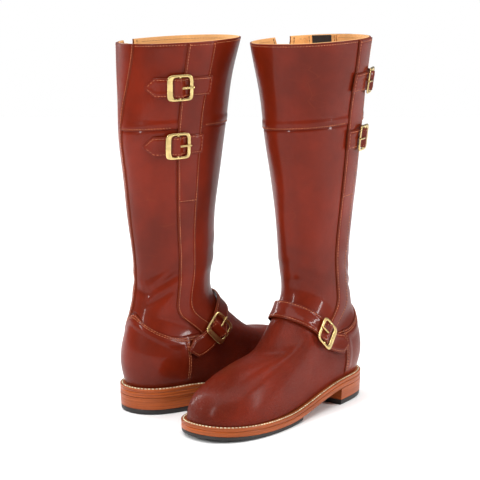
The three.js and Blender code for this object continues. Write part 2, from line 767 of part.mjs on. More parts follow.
// Pieces that move carry their motion: the point and axis of the joint in the boot's frame, and
// how far it reaches, in degrees for a hinge and millimetres for the zip's slide.

function bootPieces() {
  const pieces = [];
  const add = (name, colour, geometry, matrix, motion) => {
    if (matrix) geometry.applyMatrix4(matrix);
    if (motion) {
      motion.at.applyMatrix4(matrix);
      motion.axis.transformDirection(matrix);
    }
    pieces.push({ name, colour, motion, geometry: orientedOut(mergeVertices(bare(geometry), 1e-4)) });
  };

  // Sole unit.
  const proud = sole.weltProud;
  const soleTop = (x) => weltTop(x) - sole.welt - gap;
  const soleBottom = (x) => weltTop(x) - sole.welt - sole.leather;
  add('heel_cap', 'rubber', soleSlab(-99, sole.breastX, 11, proud - 1, proud - sole.heelTaper,
    () => sole.heelRubber - gap, () => 0));
  add('heel_stack', 'edge', soleSlab(-99, sole.breastX, 11, proud, proud - 1,
    (x) => soleBottom(x) - gap, () => sole.heelRubber));
  add('forefoot_rubber', 'rubber', soleSlab(sole.halfSoleX, 999, 13, proud - 0.6, proud - 1.2,
    (x) => soleBottom(x) - gap, (x) => soleBottom(x) - sole.rubber));
  add('outsole', 'edge', soleSlab(-99, 999, 22, proud - 0.3, proud - 0.3, soleTop, soleBottom));
  add('welt', 'edge', weltGeometry());
  add('shank', 'steel', shankGeometry());
  const insoleBottom = (x) => weltTop(x) + 1.4 * gap;
  add('insole', 'lining', soleSlab(-99, 999, 20, -5.5, -5.5, (x) => insoleBottom(x) + 3, insoleBottom));

  // Foot.
  add('vamp', 'leather', panel(footPatch(true), 24, 8, -leather, 0));
  add('heel_counter', 'leather', panel(footPatch(false), 20, 8, -leather, 0));

  // Leg.
  const crowd = 1.6;
  const shaftFront = legPatch(afterZip, seamFront, waistOf, cuffHeight, seamGap / 2, half, crowd);
  add('shaft_front', 'leather', panel(shaftFront, 16, 8, -leather, 0));
  const shaftRear = legPatch(seamRear, beforeZip, waistOf, cuffHeight, seamGap / 2, half, crowd);
  add('shaft_rear', 'leather', panel(shaftRear, 14, 8, -leather, 0));
  const cuffFront = legPatch(afterZip, seamFront, cuffHeight, null, half, 0);
  add('cuff_front', 'leather', panel(cuffFront, 16, 3, -leather, 0));
  const cuffRear = legPatch(seamRear, beforeZip, cuffHeight, null, half, 0);
  add('cuff_rear', 'leather', panel(cuffRear, 14, 3, -leather, 0));

  // Trim on the leg.
  const strip = legPatch(flapFrontAt, flapRearAt, waistOf, flapHeight, half, half);
  add('side_strip', 'leather', panel(strip, 2, 7, trimGap, trimGap + trim));
  const flap = legPatch(flapFrontAt, flapRearAt, flapHeight, null, half, 0);
  add('closure_flap', 'leather', panel(flap, 3, 8, trimGap, trimGap + trim));
  const stayHalf = (height) => 0.016 + 0.045 * smooth((height - (leg.height - cuffDepth)) / cuffDepth);
  const stay = legPatch((h) => seam.stay - stayHalf(h), (h) => seam.stay + stayHalf(h), waistOf, null, half, 0);
  add('back_stay', 'leather', panel(stay, 4, 9, trimGap, trimGap + trim));

  // Lining and the elastic gore inside it.
  const liningOuter = -(leather + liningGap);
  const lining = (s, t) => {
    const up = mix(liningRing, topRing, t);
    const open = zipHalfTurn(up, zip.slot / 2 + 1);
    return [mix(seam.zip - 1 + open, seam.zip - open, s), up];
  };
  add('lining', 'lining', panel(lining, 32, 7, liningOuter - liningLeather, liningOuter));
  const goreOuter = liningOuter - liningLeather - liningGap;
  const gorePatch = legPatch(() => gore.from, () => gore.to, (r) => topHeight(r) - gore.depth, null, 0, 0);
  add('elastic_gore', 'elastic', panel(gorePatch, 3, 2, goreOuter - gore.thickness, goreOuter));

  // Straps with their buckles and prongs.
  for (const row of strapLines()) {
    const spot = row.line.at(row.barAt);
    const place = frameMatrix(spot);
    const slot = slotGeometry().applyMatrix4(place);
    const whole = toSolid(strapGeometry(row.line, row.barAt));
    add(`${row.name}_strap`, 'leather', fromSolid(whole.subtract(toSolid(slot))));
    add(`${row.name}_buckle`, 'brass', buckleGeometry(), place);
    const hinge = { at: new THREE.Vector3(0, 0, barCentre), axis: new THREE.Vector3(0, 1, 0), reach: 100 };
    add(`${row.name}_prong`, 'brass', prongGeometry(), place, hinge);
  }

  // Zip.
  const sliderPlace = zipFrame(zipTopZ() - slider.fromTop);
  const { geometry: sliderBody, pinY, pinZ } = sliderGeometry();
  add('zip_chain', 'brass', zipChainGeometry());
  const run = zipTopZ() - slider.fromTop - slider.length - zip.openZ;
  const slide = { at: new THREE.Vector3(0, 0, 0), axis: new THREE.Vector3(0, 1, 0), reach: run };
  add('zip_slider', 'brass', sliderBody, sliderPlace, slide);
  const swing = { at: new THREE.Vector3(0, pinY, pinZ), axis: new THREE.Vector3(1, 0, 0), reach: 150 };
  add('zip_pull', 'brass', pullGeometry(pinY, pinZ), sliderPlace, swing);
  return pieces;
}

const waistOf = (round) => waistHeight(((round % 1) + 1) % 1);

// Where each strap runs, from its sewn end to its point, and where its buckle's bar lies.
function strapLines() {
  const sewn = flapFrontAt(leg.height - strap.upperDepth) - 0.006;
  const upper = skinLine((r) => topHeight(r) - strap.upperDepth, sewn, 0.433);
  const lower = skinLine((r) => topHeight(r) - strap.lowerDepth, sewn, 0.4275);
  const anklePath = (r) => {
    const turn = Math.abs(r);
    return mix(waistSideZ - 16, waistFrontZ, Math.cos(clamp(turn / 0.38, 0, 1) * Math.PI / 2) ** 1.5);
  };
  const lowest = skinLine(anklePath, -0.36, 0.375);
  return [
    { name: 'upper', line: upper, barAt: lengthAt(upper, 0.332) },
    { name: 'lower', line: lower, barAt: lengthAt(lower, 0.319) },
    { name: 'ankle', line: lowest, barAt: lengthAt(lowest, 0.235) },
  ];
}

// Distance along a line at which it passes a direction.
function lengthAt(line, round) {
  let [low, high] = [0, line.length];
  for (let i = 0; i < 40; i += 1) {
    const middle = (low + high) / 2;
    if (line.at(middle).round < round) low = middle;
    else high = middle;
  }
  return (low + high) / 2;
}

function shankGeometry() {
  const [fromX, toX, halfWidth, count] = [48, foot.length * 0.6, 7, 8];
  const face = (drop) => {
    const rows = [];
    for (let i = 0; i <= count; i += 1) {
      const x = mix(fromX, toX, i / count);
      rows.push([-halfWidth, halfWidth].map((y) => new THREE.Vector3(x, y + 2, weltTop(x) - drop)));
    }
    return rows;
  };
  return orientedOut(gridSlab(face(1), face(2.5)));
}

function bare(geometry) {
  const copy = geometry.clone();
  for (const name of Object.keys(copy.attributes)) {
    if (name !== 'position') copy.deleteAttribute(name);
  }
  return copy;
}

// ---- The pair -------------------------------------------------------------------------------

const pair = new THREE.Group();
const pieces = bootPieces();
for (const [side, place] of Object.entries(places)) {
  const boot = new THREE.Group();
  boot.position.set(place.x - pairCentre.x, place.y - pairCentre.y, 0);
  boot.rotation.z = THREE.MathUtils.degToRad(place.turn);
  if (place.mirrored) boot.scale.y = -1;
  for (const { name, colour, geometry, motion } of pieces) {
    const mesh = new THREE.Mesh(geometry, new THREE.MeshStandardMaterial(colours[colour]));
    mesh.name = `${side}_${name}`;
    if (motion) mesh.userData.motion = motion;
    boot.add(mesh);
  }
  pair.add(boot);
}

export default pair;
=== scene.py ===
"""Riding boots: the finished look of a pair of knee-high leather boots, built round their frame.

Every boot piece is worked out in one boot's own frame, in millimetres, and placed twice: the left
boot as it is and the right boot as its mirror image. x runs forward from the back of the heel, y
to the outer side of the leg and z up from the ground. A place on the leather skin is a turn (0 at
the toe and shin, a quarter on the outer side, a half at the heel and calf) and a ring (0 at the
welt, TOP_RING at the top line).
"""

import bmesh
import bpy
import numpy as np
from bpy.props import FloatProperty, FloatVectorProperty, PointerProperty
from mathutils import Matrix


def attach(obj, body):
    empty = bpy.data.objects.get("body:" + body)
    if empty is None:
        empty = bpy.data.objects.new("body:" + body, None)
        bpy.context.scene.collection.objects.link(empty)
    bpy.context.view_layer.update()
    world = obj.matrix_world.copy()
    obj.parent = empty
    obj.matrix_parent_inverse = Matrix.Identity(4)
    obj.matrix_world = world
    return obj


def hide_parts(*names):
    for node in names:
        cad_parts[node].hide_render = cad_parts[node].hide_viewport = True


bl_info = {
    "name": "Riding Boots",
    "version": (1, 0, 0),
    "blender": (4, 5, 0),
    "location": "3D View > Sidebar > Boots",
    "description": "Builds a pair of buckled leather riding boots round their packed frame",
    "category": "Add Mesh",
}

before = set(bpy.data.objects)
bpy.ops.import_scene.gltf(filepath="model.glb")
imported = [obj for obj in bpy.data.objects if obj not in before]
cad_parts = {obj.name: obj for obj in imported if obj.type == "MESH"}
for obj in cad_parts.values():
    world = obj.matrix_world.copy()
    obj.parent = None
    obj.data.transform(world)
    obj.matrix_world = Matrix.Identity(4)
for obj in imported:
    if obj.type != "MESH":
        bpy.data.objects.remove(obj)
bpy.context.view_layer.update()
MM = 0.001

# ---- Driving dimensions, in millimetres --------------------------------------------------------

FOOT_LENGTH, BALL_WIDTH, HEEL_WIDTH = 283.0, 93.0, 76.0
WELT, OUTSOLE, HALF_SOLE = 4.0, 6.0, 4.0
HEEL_TOP, HEEL_CAP, BREAST_X, HALF_SOLE_X = 30.0, 6.0, 73.0, 158.0
WELT_UNDER = 7.0
TOE_SPRING, BALL_X = 4.0, 185.0
ANKLE_FRONT, ANKLE_BACK, ANKLE_HALF = (110.0, 130.0), (10.0, 112.0), 33.0
LEG_HEIGHT, TOP_TILT = 420.0, 0.057
LEATHER, TRIM, TRIM_GAP, GAP = 1.6, 1.4, 0.6, 0.35
SEAM_X = 58.0
COUNTER_X = SEAM_X + 3.0
# Turns just outside and inside the toe, from which a cross line is looked for.
NEAR_SIDES = (0.1, 0.9)
COUNTER_BACK_Z, WAIST_SIDE_Z, WAIST_FRONT_Z = 113.0, 86.0, 116.0
CUFF_DEPTH, FLAP_DEPTH = 97.0, 182.0
STRAP_WIDTH, STRAP_THICK, STRAP_POINT = 22.0, 2.0, 13.0
UPPER_DEPTH, LOWER_DEPTH = 49.0, 115.0
BAR_RADIUS, EYE_RADIUS = 1.3, 2.7
BUCKLE_HALF, FRONT_BAR, REAR_BAR, SIDE_BAR = 15.0, 4.0, 6.5, 3.0
ZIP_TURN, ZIP_BOTTOM, ZIP_OPEN, ZIP_TOP_DEPTH = 0.6875, 136.0, 200.0, 20.0
ZIP_SLOT, ZIP_NOTCH, ZIP_NOTCH_DEPTH = 13.0, 9.0, 24.0
ZIP_STOP_HALF, ZIP_STOP_RISE = 10.5, 1.0
SLIDER_FROM_TOP, SLIDER_LENGTH, SLIDER_WIDTH = 8.0, 13.0, 9.4
STAY_TURN, SEAM_TURN = 0.54, 0.366
FLAP_FRONT, FLAP_REAR = (0.236, 0.25), (0.3, 0.326)
GORE_FROM, GORE_TO, GORE_DEPTH = 0.533, 0.605, 45.0
OVERLAP = 7.0

# Where each boot stands: the x and y of the back of its heel, the way its toe points in degrees
# and its hand.
PLACES = {
    "left": (119.13, 73.74, 233.8, 1.0),
    "right": (-133.87, -40.26, 41.0, -1.0),
}
CAMERA_AT = (-0.0064, -2.4248, 0.6822)
CAMERA_DOWN = 0.1995
CAMERA_LENS = 162.8
# Brightness of the room round the boots, where the camera sees white.
ROOM_LIGHT = 0.22


def clamp01(value):
    return np.clip(value, 0.0, 1.0)


def mix(a, b, share):
    return a + (b - a) * share


def smooth(value):
    """Eases from 0 to 1: three t squared less two t cubed."""
    t = clamp01(value)
    return t * t * (3 - 2 * t)


def unit(vectors):
    return vectors / np.maximum(np.linalg.norm(vectors, axis=-1, keepdims=True), 1e-12)


def bump_at(value, centre, width):
    """A bell curve of height 1."""
    return np.exp(-(((value - centre) / width) ** 2))


def full_turn(count):
    """Evenly spaced angles round a circle."""
    return np.arange(count) / count * 2 * np.pi


def path_run(path):
    """Distance of each point of a path from its start."""
    return np.concatenate([[0], np.cumsum(np.linalg.norm(np.diff(path, axis=0), axis=1))])


# ---- The skin ----------------------------------------------------------------------------------

BALL_TOP = HALF_SOLE + OUTSOLE + WELT
COLUMNS, ZIP_COLUMNS = 16, (10, 11, 12)


def welt_top(x):
    """Height of the welt: level under the heel, eased down to the ball, a square rise to the toe."""
    rise = (HEEL_TOP - BALL_TOP) * smooth((BALL_X - x) / (BALL_X - 55))
    toe = np.clip((x - BALL_X) / (FOOT_LENGTH - BALL_X), 0, 1.2)
    return BALL_TOP + rise + TOE_SPRING * toe**2


OUTLINE = np.array([
    (1, -0.06), (0.985, 0.47), (0.89, 0.87), (0.735, 1), (0.55, 0.9), (0.355, 0.82), (0.18, 0.97),
    (0.05, 0.76), (0, 0), (0.05, -0.76), (0.18, -0.97), (0.35, -0.72), (0.535, -0.68),
    (0.725, -0.93), (0.88, -0.96), (0.975, -0.64),
])
# How far each foot ring has moved from the outline to the ankle: a plan share and a height share
# at the toe, at the outer side, at the inner side and at the heel.
FOOT_RINGS = np.array([
    (0.02, 0.27, 0.05, 0.24, 0.05, 0.16, -0.9, 0.29),
    (0.45, 0.5, 0.4, 0.5, 0.5, 0.28, -0.55, 0.6),
    (0.6, 0.46, 0.7, 0.75, 0.92, 0.47, 0.2, 0.84),
    (0.72, 0.62, 0.9, 0.87, 1, 0.75, 0.6, 0.925),
])
# Share of the leg's height, front x, back x, outer and inner half width.
LEG_RINGS = np.array([
    (0.12, 122, 19, 33.5, 33.5),
    (0.28, 122, 13, 34.5, 37.5),
    (0.45, 128, 7, 41, 44),
    (0.655, 138, -1.5, 46, 52),
    (0.828, 141, 3, 55, 59),
    (1, 151, 5, 66.5, 66.5),
])


def leg_ring(front, back, outer, inner, tilt):
    """An oval through a front and a back point, each (x, z), with its own half widths."""
    angle = full_turn(COLUMNS)
    c, s = np.cos(angle), np.sin(angle)
    x = (front[0] + back[0]) / 2 + (front[0] - back[0]) / 2 * np.sign(c) * np.abs(c) ** 0.95
    y = np.where(s > 0, outer, inner) * np.sign(s) * np.abs(s) ** 0.95
    z = (front[1] + back[1]) / 2 + (front[1] - back[1]) / 2 * c + tilt * y
    return np.stack([x, y, z], -1)


def control_rings():
    """Control points of the skin: the outline at the welt, four foot rings, the ankle, six leg
    rings, and one ring beyond each end. The columns beside the zip are made straight."""
    x = OUTLINE[:, 0] * FOOT_LENGTH
    y = OUTLINE[:, 1] * np.where(OUTLINE[:, 0] < 0.3, HEEL_WIDTH, BALL_WIDTH) / 2
    ground = np.stack([x, y, welt_top(x)], -1)
    ankle = leg_ring(ANKLE_FRONT, ANKLE_BACK, ANKLE_HALF, ANKLE_HALF, 0.0)
    c = np.cos(full_turn(COLUMNS))
    toe, heel = clamp01(c) ** 1.5, clamp01(-c) ** 1.5
    inside = np.arange(COLUMNS) > COLUMNS / 2
    outer, inner = (1 - toe - heel) * ~inside, (1 - toe - heel) * inside
    rings = [ground]
    for row in FOOT_RINGS:
        plan = (row[0] * toe + row[2] * outer + row[4] * inner + row[6] * heel)[:, None]
        height = (row[1] * toe + row[3] * outer + row[5] * inner + row[7] * heel)[:, None]
        share = np.concatenate([plan, plan, height], 1)
        rings.append(mix(ground, ankle, share))
    rings.append(ankle)
    for share, front, back, outer, inner in LEG_RINGS:
        front_z = mix(ANKLE_FRONT[1], LEG_HEIGHT, share)
        back_z = mix(ANKLE_BACK[1], LEG_HEIGHT, share)
        tilt = TOP_TILT * smooth(share / 0.6)
        rings.append(leg_ring((front, front_z), (back, back_z), outer, inner, tilt))
    rings = np.array(rings)
    low, high = len(rings) - len(LEG_RINGS), len(rings) - 1
    for k in ZIP_COLUMNS:
        z = rings[low:high + 1, k, 2]
        share = ((z - z[0]) / (z[-1] - z[0]))[:, None]
        rings[low:high + 1, k, :2] = mix(rings[low, k, :2], rings[high, k, :2], share)
    return np.concatenate([[2 * rings[0] - rings[1]], rings, [2 * rings[-1] - rings[-2]]])


RINGS = control_rings()
TOP_RING = len(RINGS) - 3


def spline_weights(t):
    return (1 - t) ** 3 / 6, (3 * t**3 - 6 * t**2 + 4) / 6, (-3 * t**3 + 3 * t**2 + 3 * t + 1) / 6, t**3 / 6


def blended(controls, turn, ring):
    """Uniform cubic B-spline over the control rings, closed round the boot."""
    turn, ring = np.broadcast_arrays(np.asarray(turn, float), np.asarray(ring, float))
    place = np.mod(turn, 1.0) * COLUMNS
    column = np.floor(place).astype(int)
    row = np.clip(np.floor(ring), 0, TOP_RING - 1).astype(int)
    across, along = spline_weights(place - column), spline_weights(ring - row)
    total = 0
    for a in range(4):
        for b in range(4):
            weight = along[a] * across[b]
            total = total + weight[..., None] * controls[row + a, (column + b - 1) % COLUMNS]
    return total


def skin(turn, ring):
    return blended(RINGS, turn, ring)


def skin_axis(turn, ring, axis):
    return blended(RINGS[..., axis:axis + 1], turn, ring)[..., 0]


def slopes(turn, ring):
    """The skin's change per turn and per ring."""
    step = 1e-3
    turn, ring = np.broadcast_arrays(np.asarray(turn, float), np.asarray(ring, float))
    low, high = np.maximum(ring - step, 0), np.minimum(ring + step, TOP_RING)
    turning = (skin(turn + step, ring) - skin(turn - step, ring)) / (2 * step)
    rising = (skin(turn, high) - skin(turn, low)) / (high - low)[..., None]
    return turning, rising


def outward(turn, ring):
    turning, rising = slopes(turn, ring)
    normal = unit(np.cross(turning, rising))
    normal[..., 2] *= smooth(np.asarray(ring) / 0.8)
    return unit(normal)


def bisect(value_at, wanted, low, high):
    """Solves value_at(x) = wanted for arrays, where the value rises from low to high."""
    low, high = np.array(low, float), np.array(high, float)
    for _ in range(24):
        middle = (low + high) / 2
        below = value_at(middle) < wanted
        low, high = np.where(below, middle, low), np.where(below, high, middle)
    return (low + high) / 2


def ring_at_height(turn, height):
    turn, height = np.broadcast_arrays(np.asarray(turn, float), np.asarray(height, float))
    whole = np.zeros(turn.shape)
    return bisect(lambda ring: skin_axis(turn, ring, 2), height, whole, whole + TOP_RING)


def turn_at_x(ring, x, near):
    """The turn between near and the heel at which the foot passes x."""
    ring, x = np.broadcast_arrays(np.asarray(ring, float), np.asarray(x, float))
    start = np.zeros(ring.shape) + near
    return bisect(lambda turn: -skin_axis(turn, ring, 0), -x, start, np.zeros(ring.shape) + 0.5)


def ring_above_welt(turn):
    whole = np.zeros(np.shape(turn))

    def clearance(ring):
        return skin_axis(turn, ring, 2) - welt_top(skin_axis(turn, ring, 0))

    return bisect(clearance, 0.15, whole, whole + 1)


def top_height(turn):
    return skin_axis(turn, TOP_RING, 2)


def as_turn(turn, ring, width):
    return width / np.linalg.norm(slopes(turn, ring)[0], axis=-1)


def as_ring(turn, ring, width):
    return width / np.linalg.norm(slopes(turn, ring)[1], axis=-1)


# ---- Folds in the leather ----------------------------------------------------------------------

# Each fold: turn and height of its middle, how far it climbs per turn, half length in turns,
# half width and depth in millimetres.
FOLDS = [
    (0.345, 152, -170, 0.060, 6.0, 2.3),
    (0.385, 131, -150, 0.050, 5.0, 2.0),
    (0.420, 158, -90, 0.055, 5.0, 1.4),
    (0.300, 171, -110, 0.040, 6.0, 1.3),
    (0.470, 139, 40, 0.050, 4.5, 1.5),
    (0.560, 150, 70, 0.050, 5.0, 1.3),
    (0.610, 134, 120, 0.050, 5.0, 1.6),
    (0.760, 226, -60, 0.022, 5.0, 1.1),
    (0.755, 209, 70, 0.024, 4.5, 1.3),
    (0.765, 191, -80, 0.022, 5.0, 1.4),
    (0.755, 173, 60, 0.026, 5.0, 1.5),
    (0.770, 157, -60, 0.030, 4.5, 1.3),
    (0.960, 168, 60, 0.080, 5.0, 0.8),
    (0.060, 183, -50, 0.090, 6.0, 0.7),
    (0.020, 149, 20, 0.100, 5.0, 0.9),
    (0.100, 158, -90, 0.060, 5.0, 0.8),
]
# The buckles' bars keep their leather flat: turn and height.
FLAT_SPOTS = [(0.332, 371), (0.319, 305.5), (0.235, 88)]


def folds(turn, ring):
    """Height of the leather above the skin, as (relief, hollow): each fold is a valley with a
    lower ridge above it, over long soft waves."""
    turn, ring = np.broadcast_arrays(np.asarray(turn, float), np.asarray(ring, float))
    share = np.mod(turn, 1.0)
    z = skin_axis(share, ring, 2)
    relief = np.zeros(share.shape)
    fold_shade_mask = np.zeros(share.shape)
    for at, height, climb, length, width, depth in FOLDS:
        off = (share - at + 0.5) % 1.0 - 0.5
        window = np.exp(-((off / length) ** 2))
        across = (z - height - climb * off) / width
        valley = bump_at(across, 0, 1) * window
        relief += depth * settings().fold_depth * (0.6 * bump_at(across, 1.8, 1.1) * window - valley)
        fold_shade_mask += valley
    angle = share * 2 * np.pi
    leg = smooth((z - 120) / 60)
    relief += 0.45 * leg * np.sin(3 * angle + z / 31) * np.sin(z / 24 + 1.1)
    relief += 0.3 * leg * np.sin(5 * angle - z / 19 + 2)
    calm = smooth((ring - 0.6) / 1.5)
    calm = calm * (1 - bump_at(share, ZIP_TURN, 0.028))
    for at, height in FLAT_SPOTS:
        calm = calm * (1 - bump_at(share, at, 0.05) * bump_at(z, height, 24))
    return relief * calm, clamp01(fold_shade_mask) * calm


def surface(turn, ring, lift):
    """A point at a distance from the folded skin."""
    relief = folds(turn, ring)[0]
    return skin(turn, ring) + outward(turn, ring) * (relief + lift)[..., None]


# ---- Meshes ------------------------------------------------------------------------------------


def to_row(points, side):
    """From one boot's own millimetres to the row's metres."""
    x, y, turn, hand = PLACES[side]
    c, s = np.cos(np.radians(turn)), np.sin(np.radians(turn))
    px, py = points[..., 0], points[..., 1] * hand
    return np.stack([x + px * c - py * s, y + px * s + py * c, points[..., 2]], -1) * MM


def grid_quads(index):
    """Faces of a grid of point numbers."""
    corners = [index[:-1, :-1], index[1:, :-1], index[1:, 1:], index[:-1, 1:]]
    return np.stack(corners, -1).reshape(-1, 4)


def slab(top, bottom):
    """A closed plate between two grids of points of the same size."""
    count = top.shape[0] * top.shape[1]
    index = np.arange(count).reshape(top.shape[:2])
    border = np.concatenate([index[:, 0], index[-1, 1:], index[-2::-1, -1], index[0, -2:0:-1]])
    after = np.roll(border, -1)
    rim = np.stack([border + count, after + count, after, border], 1)
    faces = np.concatenate([grid_quads(index), grid_quads(index + count)[:, ::-1], rim])
    return np.concatenate([top.reshape(-1, 3), bottom.reshape(-1, 3)]), faces.tolist()


def loft(sections, closed=False, caps=True):
    """A tube through rows of points: each row is one closed section. A closed loft joins its last
    section to its first; an open one gets a flat face at each end."""
    rows, count = sections.shape[:2]
    index = np.arange(rows * count).reshape(rows, count)
    index = np.concatenate([index, index[:, :1]], 1)
    if closed:
        index = np.concatenate([index, index[:1]], 0)
    faces = grid_quads(index).tolist()
    if caps and not closed:
        faces += [index[0, :-1][::-1].tolist(), index[-1, :-1].tolist()]
    return sections.reshape(-1, 3), faces


def joined(*parts):
    """Several (points, faces) as one."""
    points, faces, start = [], [], 0
    for part_points, part_faces in parts:
        points.append(part_points)
        faces += [[corner + start for corner in face] for face in part_faces]
        start += len(part_points)
    return np.concatenate(points), faces


def new_object(name, points, faces, material, attributes):
    """A mesh object in metres at the origin, with its doubles merged and its faces turned out."""
    mesh = bpy.data.meshes.new(name)
    mesh.from_pydata(points.tolist(), [], faces)
    for label, values in attributes.items():
        layer = mesh.attributes.new(label, "FLOAT", "POINT")
        layer.data.foreach_set("value", np.ascontiguousarray(values, dtype=np.float32))
    work = bmesh.new()
    work.from_mesh(mesh)
    bmesh.ops.remove_doubles(work, verts=work.verts, dist=2e-7)
    bmesh.ops.dissolve_degenerate(work, edges=work.edges, dist=1e-8)
    if work.calc_volume(signed=True) < 0:
        bmesh.ops.reverse_faces(work, faces=work.faces)
    work.to_mesh(mesh)
    work.free()
    mesh.shade_smooth()
    mesh.set_sharp_from_angle(angle=np.radians(48))
    mesh.materials.append(material)
    piece = bpy.data.objects.new(name, mesh)
    bpy.context.scene.collection.objects.link(piece)
    return piece


def cut(piece, points, faces, name):
    """Takes a closed shape, given in metres, out of a piece."""
    mesh = bpy.data.meshes.new(name)
    mesh.from_pydata(points.tolist(), [], faces)
    cutter = bpy.data.objects.new(name, mesh)
    bpy.context.scene.collection.objects.link(cutter)
    change = piece.modifiers.new("cut", "BOOLEAN")
    change.operation = "DIFFERENCE"
    change.solver = "EXACT"
    change.object = cutter
    bpy.context.view_layer.update()
    whole = piece.evaluated_get(bpy.context.evaluated_depsgraph_get())
    shaped = bpy.data.meshes.new_from_object(whole)
    piece.modifiers.clear()
    piece.data = shaped
    bpy.data.objects.remove(cutter)
    bpy.data.meshes.remove(mesh)


def turned_over(faces):
    return [face[::-1] for face in faces]


def make_pair(name, shape, material, body="boot", replaces=(), attributes=None, holes=None):
    """Places a piece on both boots. body and replaces are named without their side."""
    points, faces = shape
    for side, place in PLACES.items():
        mirrored = place[3] < 0
        placed = turned_over(faces) if mirrored else faces
        label = f"{side}_{name}"
        piece = new_object(label, to_row(points, side), placed, material, attributes or {})
        if holes is not None:
            hole_faces = turned_over(holes[1]) if mirrored else holes[1]
            cut(piece, to_row(holes[0], side), hole_faces, label + "_holes")
        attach(piece, f"{side}_{body}")
        if replaces:
            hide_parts(*[f"{side}_{node}" for node in replaces])


# ---- Leather pieces ----------------------------------------------------------------------------


def steps(count, edge):
    """Shares from 0 to 1, evenly spaced but with extra ones close to both ends, for round edges.
    edge is the width of the rounding as a share of the whole."""
    close = np.array([0, 0.12, 0.35, 0.65, 1.0, 1.6]) * edge
    inner = np.linspace(close[-1], 1 - close[-1], count)[1:-1]
    return np.concatenate([close, inner, 1 - close[::-1]])


def arc_from_ends(points, axis):
    """Distances along a grid's lines from their first and from their last end."""
    lengths = np.linalg.norm(np.diff(points, axis=axis), axis=-1)
    run = np.concatenate([np.zeros_like(np.take(lengths, [0], axis)), np.cumsum(lengths, axis)], axis)
    back = np.take(run, [-1], axis) - run
    return run, back


def edge_drop(distance, radius):
    """How far a rounded edge falls below the face: a quarter circle."""
    inside = clamp01(1 - distance / radius)
    return radius * (1 - np.sqrt(1 - inside**2))


class Sheet:
    """A leather piece on the skin: its grid of places and the distance of each from its edges."""

    def __init__(self, spot, across, up, edge=1.0):
        rough = surface(*spot(*np.meshgrid([0.0, 0.5, 1.0], [0.0, 0.5, 1.0], indexing="ij")), 0.0)
        wide = np.linalg.norm(rough[1:, 1] - rough[:-1, 1], axis=-1).sum()
        tall = np.linalg.norm(rough[1, 1:] - rough[1, :-1], axis=-1).sum()
        s, t = np.meshgrid(steps(across, edge / wide), steps(up, edge / tall), indexing="ij")
        self.turn, self.ring = spot(s, t)
        base = skin(self.turn, self.ring)
        self.first, self.last = arc_from_ends(base, 0)
        self.low, self.high = arc_from_ends(base, 1)
        self.edge = np.minimum(np.minimum(self.first, self.last), np.minimum(self.low, self.high))

    def solid(self, inner, outer, raised=0.0, radius=0.8, dents=0.0):
        """A plate between two distances from the skin, raised by an array, with rounded edges."""
        top = outer + raised - edge_drop(self.edge, radius) - dents
        bottom = inner + raised + edge_drop(self.edge, 0.35)
        shape = slab(surface(self.turn, self.ring, top), surface(self.turn, self.ring, bottom))
        # The fold valleys' mask, kept as the fold attribute for painted shade in the leather's colour.
        fold_shade_mask = folds(self.turn, self.ring)[1].ravel()
        # Nearness to the edges: a darker band of painted shade, and the cut edge's own colour at the very
        # rim; the underside takes the cut edge's colour.
        edge_shade_and_cut_edge = np.exp(-self.edge / 0.9).ravel()
        both = {"fold": np.tile(fold_shade_mask, 2), "edge": np.concatenate([edge_shade_and_cut_edge, np.ones_like(edge_shade_and_cut_edge)])}
        return shape, both

    def stitch_dents(self, *rows):
        """A shallow groove under each stitch row. A row is (distance array, distance of the row)."""
        total = np.zeros(self.turn.shape)
        for distance, inset in rows:
            total = np.maximum(total, settings().stitch_dent * bump_at(distance, inset, 0.8))
        return total


def leg_share(height):
    return clamp01((height - ANKLE_FRONT[1]) / (LEG_HEIGHT - ANKLE_FRONT[1]))


def flap_front(height, ring=None):
    return mix(FLAP_FRONT[0], FLAP_FRONT[1], leg_share(height))


def flap_rear(height, ring=None):
    return mix(FLAP_REAR[0], FLAP_REAR[1], leg_share(height))


def rear_start(height, ring=None):
    """Where the rear panels start: a hair behind the front ones."""
    return flap_front(height) + 0.0006


def stay_half(height):
    return 0.016 + 0.045 * smooth((height - (LEG_HEIGHT - CUFF_DEPTH)) / CUFF_DEPTH)


def stay_side(side):
    """An edge of the back stay: -1 is the outer one and 1 the inner one."""
    return lambda height, ring: STAY_TURN + side * stay_half(height)


def straight_up(turn):
    return lambda height, ring: turn + 0 * height


def zip_half_turn(ring, opening):
    """Half width of the zip's slot in turns, spread into a notch at the top line."""
    per_turn = np.linalg.norm(slopes(ZIP_TURN, ring)[0], axis=-1)
    below = top_height(ZIP_TURN) - skin_axis(ZIP_TURN, ring, 2)
    return (opening + smooth(1 - below / ZIP_NOTCH_DEPTH) * ZIP_NOTCH / 2) / per_turn


def zip_side(share, width):
    """A line beside the zip, at a share of a width from its middle."""
    return lambda height, ring: ZIP_TURN + share * zip_half_turn(ring, width)


before_zip = zip_side(-1, ZIP_SLOT / 2)


def after_zip(height, ring):
    """The slot's other side, a whole turn back, where the front panels start."""
    return ZIP_TURN - 1 + zip_half_turn(ring, ZIP_SLOT / 2)


def waist(turn):
    """Height of the seam between foot and leg: high over the instep and at the back."""
    share = np.mod(turn, 1.0)
    share = np.where(share > 0.5, 1 - share, share)
    front = mix(WAIST_SIDE_Z, WAIST_FRONT_Z, np.cos(np.minimum(share / 0.3, 1) * np.pi / 2) ** 2)
    back = mix(WAIST_SIDE_Z, COUNTER_BACK_Z, smooth((share - SEAM_TURN) / (0.5 - SEAM_TURN)))
    return np.where(share < 0.3, front, back)


def below_top(depth):
    """A line round the leg at a depth below the top line."""
    return lambda turn: top_height(turn) - depth


def level(height):
    return lambda turn: height + 0 * turn


cuff_height = below_top(CUFF_DEPTH)
flap_height = below_top(FLAP_DEPTH)
zip_stop_top = level(ZIP_BOTTOM + 5)


